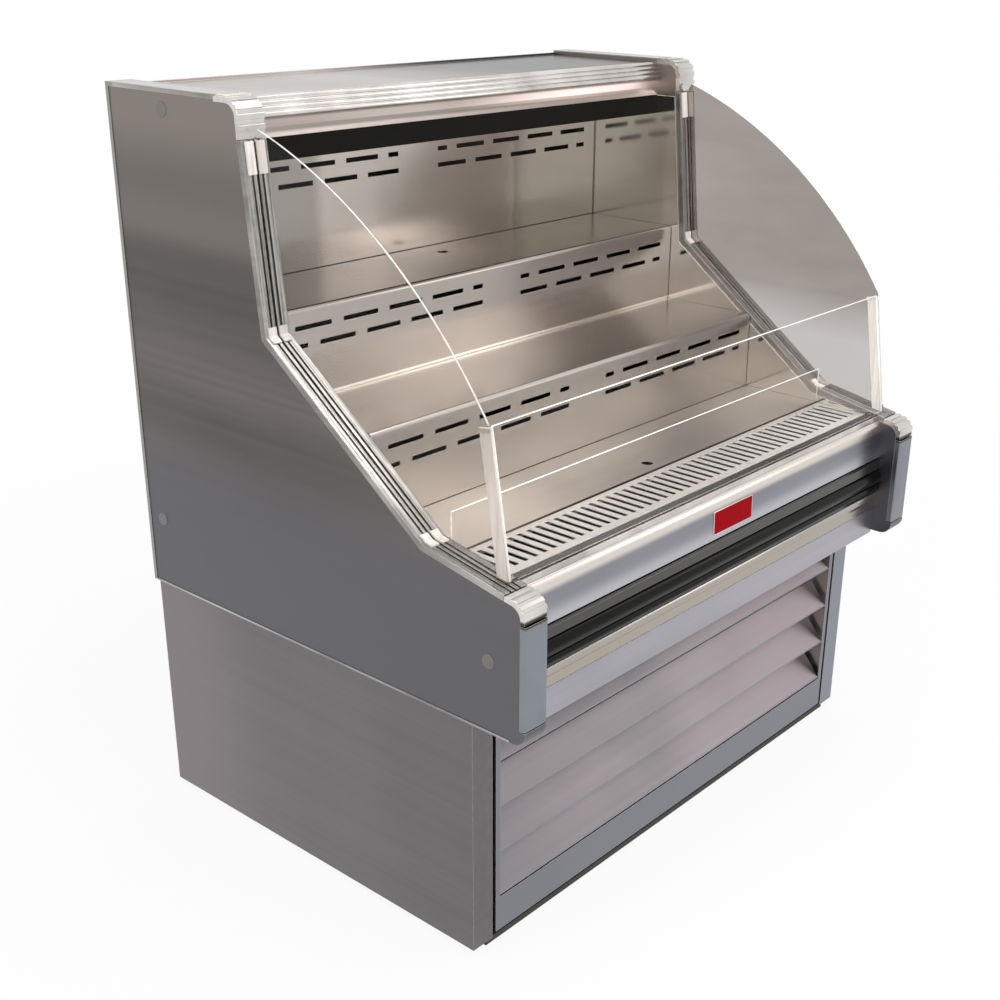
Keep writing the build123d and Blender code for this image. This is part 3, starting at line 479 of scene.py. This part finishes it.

# The flange's narrow front face gets a painted highlight, lighter and bluer.
flange_steel = steel(
    "flange_steel", screen(112, 110, 112), screen(128, 125, 127), 0.42, "y", (2, 1.6, 1.2),
    zones=[("Y", SIDE_FLANGE_Y + 0.5, SIDE_FLANGE_Y - 0.5, screen(140, 144, 152))],
)
dress(flange_steel, "base_side_right")
# Painted light on the louvre front: a painted reflection lightens it towards the right, the stiles
# beyond the blade ends get a beige painted highlight, and the frame's flat front a bluish painted
# reflection.
louver_steel = steel(
    "louver_steel", screen(124, 122, 125), screen(148, 141, 145), 0.38, "x", (1.6, 2, 2.4),
    contrast=2.0,
    zones=[("X", -100, 520, screen(156, 146, 151)),
           ("X", BLADE_END, BLADE_END + 0.4, screen(170, 166, 158)),
           ("X", -BLADE_END, -BLADE_END - 0.4, screen(170, 166, 158)),
           ("Y", FRAME_Y + 0.2, FRAME_Y - 0.2, screen(130, 132, 138))],
)
dress(louver_steel, "louver_panel")
print("louvred front done")

# %% Display linings
# The back wall gets painted reflections of upright bands of the room, and painted shade in
# its right-hand corner. The upper tier gets a painted reflection that darkens its left end,
# its riser a flat, slightly darker painted shade, and the riser's foot a painted highlight
# where it mirrors the tier below.
LINING = {"clouds": (2, 3, 3), "contrast": 1.8, "relief": 0.006}

back_steel = steel(
    "back_steel", screen(168, 160, 153), screen(190, 181, 174), 0.2, "x", **LINING,
    zones=[("X", -255, -300, screen(152, 147, 141)), ("X", -120, -60, screen(184, 176, 169)),
           ("X", 288, 310, screen(158, 153, 145)), ("X", 380, 480, screen(160, 155, 147)),
           ("X", 586, 588.5, screen(96, 93, 88))],
)
dress(back_steel, "back_wall")
upper_steel = steel(
    "upper_steel", screen(168, 162, 155), screen(190, 182, 175), 0.22, "x", **LINING,
    zones=[("X", 100, -160, screen(98, 93, 88)),
           ("Z", TIER_1 - 1, TIER_1 - 5, screen(174, 167, 161)),
           ("Z", TIER_2 + 7, TIER_2 + 4, screen(255, 250, 244))],
)
dress(upper_steel, "upper_tier")
# The lower tier's riser is painted darker, as shade.
lower_steel = steel(
    "lower_steel", screen(190, 183, 177), screen(212, 204, 198), 0.24, "x", **LINING,
    zones=[("Z", TIER_2 - 1, TIER_2 - 5, screen(164, 158, 152))],
)
dress(lower_steel, "lower_tier")
print("back wall and tiers done")

# %% Deck, grille and sides
liner_steel = steel(
    "liner_steel", screen(168, 162, 156), screen(190, 183, 176), 0.24, "x", **LINING,
)
dress(liner_steel, "canopy_liner", "tier_ledges")
# Painted glare: a lamp's reflection makes the deck very light at its left end, and lighter at its
# right.
deck_steel = steel(
    "deck_steel", screen(188, 182, 178), screen(214, 207, 202), 0.34, "x", **LINING,
    zones=[("X", -180, -430, screen(255, 247, 239)), ("X", 120, 420, screen(240, 233, 227))],
)
dress(deck_steel, "deck_pan")
grille_steel = steel(
    "grille_steel", screen(240, 236, 231), screen(255, 253, 250), 0.34, "x", (9, 9, 9),
    contrast=2.0, relief=0.02, metal=0.8,
)
dress(grille_steel, "return_grille")
side_steel = steel(
    "side_steel", screen(236, 231, 224), screen(254, 249, 243), 0.12, "y", **LINING,
)
dress(side_steel, "side_liners")
print("deck, grille and sides done")

# %% Nose, fascia and bumper
# From the sill at the back, painted darker as shade, the nose goes over a painted highlight
# on its edge and a darker band to a foot painted lighter as a reflection.
nose_steel = steel(
    "nose_steel", screen(128, 129, 136), screen(148, 148, 156), 0.26, "x", (2, 3, 8),
    zones=[("Z", 706, 720, screen(218, 211, 203)), ("Y", 64, 70, screen(104, 101, 98)),
           ("Z", 690, 656, screen(184, 184, 190))],
)
dress(nose_steel, "sill_nose")
fascia_steel = steel(
    "fascia_steel", screen(157, 156, 163), screen(178, 175, 182), 0.34, "x", (2, 3, 6),
)
dress(fascia_steel, "fascia_panel")
# The nose bars are painted dark near their top, as shade.
bar_steel = steel(
    "bar_steel", screen(118, 123, 131), screen(142, 147, 154), 0.32, "z", (6, 6, 6),
    contrast=1.8, zones=[("Z", 694, 699, screen(70, 68, 64))],
)
dress(bar_steel, "nose_bars")
# The bumper rail's lower bead gets a painted highlight, and its upper lip painted shade under the
# nose.
bead_steel = steel(
    "bead_steel", screen(158, 154, 147), screen(180, 177, 171), 0.2, "x", (4, 3, 3),
    zones=[("Z", 572, 560, screen(170, 163, 152)), ("Z", 612, 630, screen(84, 83, 82))],
)
dress(bead_steel, "bumper_rail")
print("nose, fascia and bumper done")

# %% Canopy
# The top deck is painted darker to the right as a reflection, while the face below it gets
# a painted reflection, lighter and warmer to the right, and painted light along its lower edge.
top_steel = steel(
    "top_steel", screen(160, 154, 151), screen(190, 183, 181), 0.3, "x", (2.4, 2, 3),
    contrast=2.2, zones=[("X", -250, 260, screen(86, 84, 82))],
)
dress(top_steel, "canopy_top")
canopy_steel = steel(
    "canopy_steel", screen(150, 142, 137), screen(170, 160, 155), 0.3, "x", (1.6, 3, 3),
    zones=[("X", -100, 340, screen(255, 236, 231)), ("Z", 1388, 1379, screen(255, 246, 240))],
)
dress(canopy_steel, "canopy_front")
print("canopy done")

# %% Bright trim, and zinc for the pieces behind the panels
bright_trim = steel(
    "bright_trim", screen(176, 171, 167), screen(226, 222, 218), 0.16, "x", (7, 7, 7),
    contrast=2.2,
)
dress(bright_trim, "canopy_trim", "top_caps", "guard_seat", "panel_catches")
# The nose caps are painted dark below their rounded top, as shade.
cap_steel = steel(
    "cap_steel", screen(190, 186, 182), screen(236, 232, 228), 0.14, "x", (7, 7, 7),
    contrast=2.2, zones=[("Z", 712, 706, screen(66, 64, 60))],
)
dress(cap_steel, "nose_caps")
channel_steel = steel(
    "channel_steel", screen(110, 108, 105), screen(188, 184, 179), 0.2, "y", (240, 4, 4),
    contrast=2.6, zones=[("Y", 984, 990, screen(150, 147, 144))], metal=0.75,
)
dress(channel_steel, "edge_channels", "edge_trims")
zinc_steel = steel(
    "zinc_steel", screen(132, 136, 140), screen(178, 182, 186), 0.45, "z", (26, 26, 26),
    contrast=3.0,
)
dress(zinc_steel, "unit_tray", "base_frame", "condensate_tray", "evaporator_fan_plate",
      "condenser_shroud", "control_box")
print("trims done")

# %% [markdown]
# ## Plastics, paint and foam
#
# Moulded plastic is not a metal: it keeps its own colour and adds a white highlight. It
# gets a fine pebble in the bump, clouds that change only its gloss, and edges a little
# paler where hands have rubbed it.

# %% Plastic and paint recipe
def moulded(name, colour, pale, rough, grain=260.0, relief=0.08, sheen=0.5):
    """Plastic or paint: one colour with a paler rubbed tone and a fine pebble."""
    made, tree, shader = new_finish(name)
    place = add(tree, "TexCoord").outputs["Object"]
    cloud = use(tree, cloudy_tone, {"Position": place, "Stretch": (9, 9, 9), "Contrast": 1.6})
    rubbed = use(tree, rubbed_edges, {"Position": place, "Reach": 0.001, "Breakup": 140.0})
    soft = add(tree, "Math", {0: cloud.outputs["Mask"], 1: 0.25}, operation="MULTIPLY")
    both = add(tree, "Math", {0: soft.outputs[0], 1: rubbed.outputs["Mask"]}, operation="MAXIMUM")
    tone = add(tree, "Mix", {"Factor": both.outputs[0], "A": colour, "B": pale}, data_type="RGBA")
    gloss = add(tree, "MapRange", {"Value": cloud.outputs["Mask"], "To Min": rough - 0.04,
                                   "To Max": rough + 0.06})
    pebble = add(tree, "TexNoise", {"Vector": place, "Scale": grain, "Detail": 2.0})
    bump = add(tree, "Bump", {"Height": pebble.outputs["Fac"], "Strength": relief,
                              "Distance": 0.0003, "Normal": rubbed.outputs["Normal"]})
    tree.links.new(tone.outputs["Result"], shader.inputs["Base Color"])
    tree.links.new(gloss.outputs[0], shader.inputs["Roughness"])
    tree.links.new(bump.outputs[0], shader.inputs["Normal"])
    shader.inputs["Specular IOR Level"].default_value = sheen
    return made


print("plastic recipe ready")

# %% Plastics and paints
black_vinyl = moulded("black_vinyl", screen(4, 4, 2), screen(16, 16, 13), 0.14,
                      relief=0.03, sheen=0.14)
dress(black_vinyl, "bumper_insert")
black_plastic = moulded("black_plastic", screen(12, 12, 9), screen(26, 26, 22), 0.5, sheen=0.08)
dress(black_plastic, "air_honeycomb", "thermostat_knob", "power_switch", "power_inlet",
      "condenser_fan", "evaporator_fan_1", "evaporator_fan_2")
black_paint = moulded("black_paint", screen(20, 20, 20), screen(54, 53, 50), 0.35)
dress(black_paint, "compressor", "condenser_motor", "evaporator_motors")
runner_paint = moulded("runner_paint", screen(34, 34, 28), screen(80, 80, 66), 0.6)
dress(runner_paint, "base_runners")
grey_plastic = moulded("grey_plastic", screen(108, 105, 101), screen(154, 150, 144), 0.4)
dress(grey_plastic, "plug_caps")
white_plastic = moulded("white_plastic", screen(214, 214, 210), screen(240, 240, 236), 0.4)
dress(white_plastic, "drain_pipe")
tank_foam = moulded("tank_foam", screen(88, 86, 82), screen(118, 115, 110), 0.55,
                    grain=90.0, relief=0.2)
dress(tank_foam, "insulated_tank")
print("plastics and paints done")

# %% [markdown]
# ## Coils and tubes
#
# The two coils are stacks of thin aluminium fins, which CAD keeps as plain blocks. Fins
# are a fraction of a millimetre thick, so the finish draws them with a fine wave in the
# bump and the tone. Copper tube has gone slightly brown where it was brazed.

# %% Fins and copper
FIN_PITCH = 0.0025


def finned(name, colour, dark):
    """Aluminium fins stacked along X, as a fine wave in tone and bump."""
    made, tree, shader = new_finish(name)
    place = add(tree, "TexCoord").outputs["Object"]
    wave = add(tree, "TexWave", {"Vector": place, "Scale": 0.5 / FIN_PITCH, "Distortion": 0.0},
               bands_direction="X")
    cloud = use(tree, cloudy_tone, {"Position": place, "Stretch": (12, 12, 12), "Contrast": 1.5})
    # The dark half of the wave is painted shade in the gaps between the fins.
    tone = add(tree, "Mix", {"Factor": wave.outputs["Fac"], "A": dark, "B": colour},
               data_type="RGBA")
    dull = add(tree, "Mix", {"Factor": cloud.outputs["Mask"], "A": tone.outputs["Result"],
                             "B": dark}, data_type="RGBA")
    bump = add(tree, "Bump", {"Height": wave.outputs["Fac"], "Strength": 0.6, "Distance": 0.001})
    tree.links.new(dull.outputs["Result"], shader.inputs["Base Color"])
    tree.links.new(bump.outputs[0], shader.inputs["Normal"])
    shader.inputs["Metallic"].default_value = 1.0
    shader.inputs["Roughness"].default_value = 0.4
    return made


coil_fins = finned("coil_fins", screen(206, 208, 210), screen(96, 98, 100))
dress(coil_fins, "condenser_coil", "evaporator_coil")
copper_tube = steel("copper_tube", screen(150, 84, 58), screen(206, 128, 96), 0.3, "z",
                    (14, 14, 14))
dress(copper_tube, "refrigerant_lines", "filter_drier")
print("coils and tubes done")

# %% [markdown]
# ## Clear guards
#
# The guards are 5 mm clear acrylic. A clear sheet on its own nearly vanishes, and what the
# eye really sees are its cut rims, which gather light from the whole sheet and shine white.
# The sheets therefore get a plain clear finish, the side guards with a painted reflection
# on their inner faces, and each rim gets a thin rounded bead with a light finish of its own
# and a painted glow for the light it gathers.

# %% Painted reflection on the inner face
REFLECTION_TOP, REFLECTION_FOOT = 1.0, 0.9      # heights in metres where the painted reflection starts and ends to pale


def inner_reflection(tree, place, colour, tints):
    """Colour with a painted reflection in cloudy bands on the faces looking in at the display.

    The inner face of a guard mirrors the lit display, so it looks denser from inside than
    from outside; that reflection is painted into the colour. The last of the three tones is
    for its foot.
    """
    geometry = add(tree, "NewGeometry")
    spot = add(tree, "SeparateXYZ", {"Vector": place})
    facing = add(tree, "SeparateXYZ", {"Vector": geometry.outputs["True Normal"]})
    inward = add(tree, "Math", {0: spot.outputs["X"], 1: facing.outputs["X"]},
                 operation="MULTIPLY")
    flat = add(tree, "Math", {0: inward.outputs[0], 1: -0.5}, operation="LESS_THAN")
    front = add(tree, "Math", {0: 1.0, 1: geometry.outputs["Backfacing"]}, operation="SUBTRACT")
    share = add(tree, "Math", {0: flat.outputs[0], 1: front.outputs[0]}, operation="MULTIPLY")
    bands = use(tree, cloudy_tone, {"Position": place, "Stretch": (1, 2.5, 9), "Contrast": 1.6})
    mirrored_bands = add(tree, "Mix", {"Factor": bands.outputs["Mask"], "A": tints[0], "B": tints[1]},
                data_type="RGBA")
    foot = add(tree, "MapRange", {"Value": spot.outputs["Z"], "From Min": REFLECTION_TOP,
                                  "From Max": REFLECTION_FOOT})
    lighter = add(tree, "Mix", {"Factor": foot.outputs[0], "A": mirrored_bands.outputs["Result"],
                                "B": tints[2]}, data_type="RGBA")
    mixed = add(tree, "Mix", {"Factor": share.outputs[0], "A": colour,
                              "B": lighter.outputs["Result"]}, data_type="RGBA")
    return mixed.outputs["Result"]


# %% Clear sheet
CLEAR_TINT, SHADOW_TINT = (0.97, 0.965, 0.955, 1), (0.92, 0.92, 0.91, 1)


def clear_sheet(name, tints=None):
    """Clear acrylic with very light polishing marks, and painted reflection tones for its inner
    face if any.

    Shadows pass through the sheet, as they nearly do in reality.
    """
    made, tree, shader = new_finish(name)
    place = add(tree, "TexCoord").outputs["Object"]
    cloud = use(tree, cloudy_tone, {"Position": place, "Stretch": (4, 4, 4), "Contrast": 1.4})
    paler = add(tree, "Mix", {"Factor": cloud.outputs["Mask"], "A": CLEAR_TINT,
                              "B": (1, 1, 1, 1)}, data_type="RGBA")
    colour = paler.outputs["Result"]
    if tints:
        colour = inner_reflection(tree, place, colour, tints)
    gloss = add(tree, "MapRange", {"Value": cloud.outputs["Mask"], "To Min": 0.0, "To Max": 0.02})
    tree.links.new(colour, shader.inputs["Base Color"])
    tree.links.new(gloss.outputs[0], shader.inputs["Roughness"])
    shader.inputs["Transmission Weight"].default_value = 1.0
    shader.inputs["IOR"].default_value = 1.1
    clear = add(tree, "BsdfTransparent", {"Color": SHADOW_TINT})
    shadow = add(tree, "LightPath").outputs["Is Shadow Ray"]
    blend = add(tree, "MixShader", {0: shadow, 1: shader.outputs[0], 2: clear.outputs[0]})
    tree.links.new(blend.outputs[0], tree.nodes["Material Output"].inputs["Surface"])
    return made


clear_acrylic = clear_sheet("clear_acrylic")
dress(clear_acrylic, "front_guard", "product_stop")
# The side guards get a painted reflection of the display on their inner faces.
guard_acrylic = clear_sheet(
    "guard_acrylic", (screen(84, 75, 68), screen(112, 104, 98), screen(152, 146, 144)),
)
dress(guard_acrylic, "side_guard_left", "side_guard_right")
print("clear sheets done")


# %% Rim finishes
def lit_rim(name, dull, bright, glow):
    """Polished rim: pale, with a painted glow for the light it gathers, and fine saw marks across
    it.
    """
    made, tree, shader = new_finish(name)
    place = add(tree, "TexCoord").outputs["Object"]
    marks = use(tree, cloudy_tone, {"Position": place, "Stretch": (60, 60, 60), "Contrast": 2.0})
    tone = add(tree, "Mix", {"Factor": marks.outputs["Mask"], "A": dull, "B": bright},
               data_type="RGBA")
    bump = add(tree, "Bump", {"Height": marks.outputs["Mask"], "Strength": 0.1,
                              "Distance": 0.0005})
    tree.links.new(tone.outputs["Result"], shader.inputs["Base Color"])
    tree.links.new(bump.outputs[0], shader.inputs["Normal"])
    shader.inputs["Roughness"].default_value = 0.2
    # Painted glow, standing in for the light that the rim gathers from its sheet.
    shader.inputs["Emission Color"].default_value = (1.0, 0.97, 0.93, 1)
    shader.inputs["Emission Strength"].default_value = glow
    return made


polished_rim = lit_rim("polished_rim", screen(226, 222, 214), screen(252, 250, 246), 0.4)
soft_rim = lit_rim("soft_rim", screen(168, 163, 156), screen(232, 226, 218), 0.24)
print("rim finishes", polished_rim.name, soft_rim.name)


# %% Corner bar finish
def clear_bar():
    """Solid corner bar, milky from light turning inside it; a painted glow stands in for it."""
    made, tree, shader = new_finish("clear_bar")
    place = add(tree, "TexCoord").outputs["Object"]
    streak = use(tree, cloudy_tone, {"Position": place, "Stretch": (160, 160, 4),
                                     "Contrast": 2.0})
    tone = add(tree, "Mix", {"Factor": streak.outputs["Mask"], "A": screen(206, 200, 194),
                             "B": screen(246, 242, 238)}, data_type="RGBA")
    tree.links.new(tone.outputs["Result"], shader.inputs["Base Color"])
    shader.inputs["Roughness"].default_value = 0.3
    shader.inputs["Transmission Weight"].default_value = 0.3
    shader.inputs["IOR"].default_value = 1.2
    # Painted glow for the light turning inside the bar.
    shader.inputs["Emission Color"].default_value = (1.0, 0.95, 0.92, 1)
    shader.inputs["Emission Strength"].default_value = 0.12
    return made


milky_bar = clear_bar()
dress(milky_bar, "guard_clips")
print("corner bar finish", milky_bar.name)


# %% Mesh helpers
def rounded_outline(x0, x1, y0, y1, radius, steps):
    """Points round a rectangle with rounded corners, in steps + 1 points to a corner."""
    points = []
    for cx, cy, start in ((x1 - radius, y1 - radius, 0), (x0 + radius, y1 - radius, 90),
                          (x0 + radius, y0 + radius, 180), (x1 - radius, y0 + radius, 270)):
        for i in range(steps + 1):
            a = radians(start + 90 * i / steps)
            points.append((cx + radius * cos(a), cy + radius * sin(a)))
    return points


def finished_piece(name, made, *finishes):
    """Object from a worked mesh whose faces all look outwards, with its finishes."""
    bmesh.ops.recalc_face_normals(made, faces=made.faces)
    mesh = bpy.data.meshes.new(name)
    made.to_mesh(mesh)
    made.free()
    for finish in finishes:
        mesh.materials.append(finish)
    piece = bpy.data.objects.new(name, mesh)
    bpy.context.scene.collection.objects.link(piece)
    return piece


# %% Rounded bead
BEAD_STEPS = 6
SUNK = 0.0001                       # a bead's foot sits this far inside the sheet
FULL_RISE, LOW_RISE, FLAT_RISE = 0.0014, 0.0006, 0.0004


def bead(name, path, out, side, width, rise, body, finish=polished_rim):
    """Rounded bead on a cut rim: its path, the way out of the sheet, and across the rim."""
    made = bmesh.new()
    rings = []
    for point, outward in zip(path, out):
        ring = []
        for k in range(BEAD_STEPS + 1):
            s = 2 * k / BEAD_STEPS - 1
            spot = point + side * (width / 2 * s) + outward * (rise * (1 - s * s) - SUNK)
            ring.append(made.verts.new(spot))
        rings.append(ring)
    for near, far in zip(rings, rings[1:]):
        for k in range(BEAD_STEPS):
            made.faces.new((near[k], near[k + 1], far[k + 1], far[k]))
        made.faces.new((near[-1], near[0], far[0], far[-1]))
    made.faces.new(rings[0][::-1])
    made.faces.new(rings[-1])
    for face in made.faces:
        face.smooth = len(face.verts) == 4
    piece = finished_piece(name, made, finish)
    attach(piece, body)


# %% Rims of the side guards
GUARD_T = 5.0                       # thickness of the clear sheets
GUARD_X = (WIDTH - END_T) / 2       # middle of a side guard's thickness
ARC = [(622.0, 1402.0), (326.0, 1245.0), (104.0, 1006.0)]      # its curved edge, as Y and Z
ARC_STEPS = 40
ARC_BEAD = 0.0041                   # width of the bead, a little under the sheet's thickness


def circle_through(a, b, c):
    """Centre and radius of the circle through three points."""
    d = 2 * (a[0] * (b[1] - c[1]) + b[0] * (c[1] - a[1]) + c[0] * (a[1] - b[1]))
    sa, sb, sc = (p[0] ** 2 + p[1] ** 2 for p in (a, b, c))
    u = (sa * (b[1] - c[1]) + sb * (c[1] - a[1]) + sc * (a[1] - b[1])) / d
    v = (sa * (c[0] - b[0]) + sb * (a[0] - c[0]) + sc * (b[0] - a[0])) / d
    return u, v, hypot(a[0] - u, a[1] - v)


def side_rim(name, x):
    """Curved rim of one side guard."""
    u, v, radius = circle_through(*ARC)
    first = atan2(ARC[0][1] - v, ARC[0][0] - u)
    last = atan2(ARC[-1][1] - v, ARC[-1][0] - u)
    path, out = [], []
    for i in range(ARC_STEPS + 1):
        a = first + (last - first) * i / ARC_STEPS
        path.append(at(x, u + radius * cos(a), v + radius * sin(a)))
        out.append(Vector((0, cos(a), sin(a))))
    bead(name, path, out, Vector((1, 0, 0)), ARC_BEAD, LOW_RISE, "cabinet", soft_rim)


side_rim("rim_side_left", -GUARD_X)
side_rim("rim_side_right", GUARD_X)
print("side rims done, radius", round(circle_through(*ARC)[2]), "mm")

# %% [markdown]
# The front guard is flat and leans back from its foot on the sill up to the end of the
# side guards' arc. Heights on it are measured along that lean.

# %% Rims of the front guard
FOOT = (61.0, 735.0)                # the front guard's face meets the sill here, as Y and Z
FRONT_HALF = 611.0                  # half the width of the front guard
RIM_FOOT, RIM_DROP = 15, 4          # its rims start this high and end this far below the arc

run = hypot(ARC[-1][0] - FOOT[0], ARC[-1][1] - FOOT[1])
lean = Vector((0, ARC[-1][0] - FOOT[0], ARC[-1][1] - FOOT[1])) / run
across = Vector((0, lean.z, -lean.y))


def on_front(x, up, back=GUARD_T / 2):
    """Point on the front guard, a height along it and a depth behind its front face."""
    return at(x, FOOT[0], FOOT[1]) + (lean * up + across * back) / 1000


rim_top = run - RIM_DROP
bead("rim_front_top", [on_front(-FRONT_HALF, rim_top), on_front(FRONT_HALF, rim_top)],
     [lean, lean], across, GUARD_T / 1000, FULL_RISE, "cabinet")
for label, way in (("left", -1), ("right", 1)):
    x = way * FRONT_HALF
    bead("rim_front_" + label, [on_front(x, RIM_FOOT), on_front(x, rim_top)],
         [Vector((way, 0, 0))] * 2, across, GUARD_T / 1000, FLAT_RISE, "cabinet")
print("front rims done, guard", round(run), "mm high")

# %% Corner bars
POST_THICK, POST_DEEP = GUARD_X - GUARD_T / 2 - FRONT_HALF, 25.0
POST_CORNER, POST_STEPS, POST_SLACK = 1.6, 3, 0.15
POST_FOOT, POST_DROP = 16.0, 14.3   # start of the bar, and its end below the arc
SILL_RISE = 8 / 25                  # the foot is cut to the slope of the sill


def corner_post(name, side):
    """Corner bar with rounded edges, a hair inside its solid so that faces don't touch."""
    middle = side * (GUARD_X - GUARD_T / 2 - POST_THICK / 2)
    half = POST_THICK / 2 - POST_SLACK
    ring = rounded_outline(-half, half, POST_SLACK, POST_DEEP - POST_SLACK, POST_CORNER, POST_STEPS)
    made = bmesh.new()
    loops = []
    for up, slope in ((POST_FOOT, SILL_RISE), (run - POST_DROP, 0)):
        loops.append([made.verts.new(on_front(middle + x, up + back * slope, back))
                      for x, back in ring])
    for k in range(len(ring)):
        n = (k + 1) % len(ring)
        face = made.faces.new((loops[0][k], loops[0][n], loops[1][n], loops[1][k]))
        face.smooth = n % (POST_STEPS + 1) != 0
    made.faces.new(loops[0][::-1])
    made.faces.new(loops[1])
    piece = finished_piece(name, made, milky_bar)
    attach(piece, "cabinet")
    return piece


posts = [corner_post("post_left", -1), corner_post("post_right", 1)]
for post in posts:
    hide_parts("guard_posts")
print("corner bars", [post.name for post in posts])

# %% Rims of the product stop
STOP_FOOT, STOP_DROP = 0.013, 0.001     # its side rims start and end this far inside its height

stop_low, stop_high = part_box("product_stop")
middle_y, stop_t = (stop_low.y + stop_high.y) / 2, stop_high.y - stop_low.y
back_way = Vector((0, 1, 0))

bead("rim_stop",
     [Vector((x, middle_y, stop_high.z)) for x in (stop_low.x, stop_high.x)],
     [Vector((0, 0, 1))] * 2, back_way, stop_t, LOW_RISE, "deck")
for label, x, way in (("left", stop_low.x, -1), ("right", stop_high.x, 1)):
    bead("rim_stop_" + label,
         [Vector((x, middle_y, z)) for z in (stop_low.z + STOP_FOOT, stop_high.z - STOP_DROP)],
         [Vector((way, 0, 0))] * 2, back_way, stop_t, LOW_RISE, "deck", soft_rim)
print("rims done")

# %% [markdown]
# ## Bare name plate
#
# A small enamelled plate sits on the upper face of the nose, near its middle. It is a thin
# steel pressing with rounded corners and a raised rim, filled with red enamel. It is left
# bare.

# %% Name plate
PLATE = (-55.0, 78.0, 662.0, 711.0)             # left, right, bottom and top
PLATE_CORNER, LEAST_CORNER, PLATE_STEPS = 5, 1.5, 6
PLATE_RINGS = [(0.0, 0.0), (0.0, 0.9), (0.4, 1.3), (1.6, 1.4), (2.2, 1.1), (2.8, 0.95),
               (4.0, 1.0)]                      # inset and rise, from the outline inwards
RIM_RINGS = 4                                   # as many rings are bare steel, the rest enamel
FACE_Y, FACE_Z, FACE_LEAN, FACE_HIGH = 48.0, 651.0, 2.0, 83.0    # the nose's face


def pressed_plate(name, *finishes):
    """Plate on the nose's face built from rounded outlines, each inset and raised."""
    x0, x1, z0, z1 = PLATE
    made = bmesh.new()
    loops = []
    for inset, rise in PLATE_RINGS:
        loop = []
        corner = max(PLATE_CORNER - inset, LEAST_CORNER)
        for x, z in rounded_outline(x0 + inset, x1 - inset, z0 + inset, z1 - inset, corner,
                                    PLATE_STEPS):
            face_y = FACE_Y + FACE_LEAN * (z - FACE_Z) / FACE_HIGH
            loop.append(made.verts.new(at(x, face_y - rise, z)))
        loops.append(loop)
    count = len(loops[0])
    for i, (outer, inner) in enumerate(zip(loops, loops[1:])):
        for k in range(count):
            n = (k + 1) % count
            face = made.faces.new((outer[k], outer[n], inner[n], inner[k]))
            face.material_index = 0 if i < RIM_RINGS else 1
            face.smooth = True
    made.faces.new(loops[-1]).material_index = 1
    made.faces.new(loops[0][::-1])
    piece = finished_piece(name, made, *finishes)
    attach(piece, "cabinet")
    return piece


red_enamel = moulded("red_enamel", screen(150, 2, 12), screen(164, 6, 18), 0.5,
                     grain=60.0, relief=0.05, sheen=0.03)
name_plate = pressed_plate("name_plate", bright_trim, red_enamel)
print("name plate", [round(v, 3) for v in name_plate.dimensions])
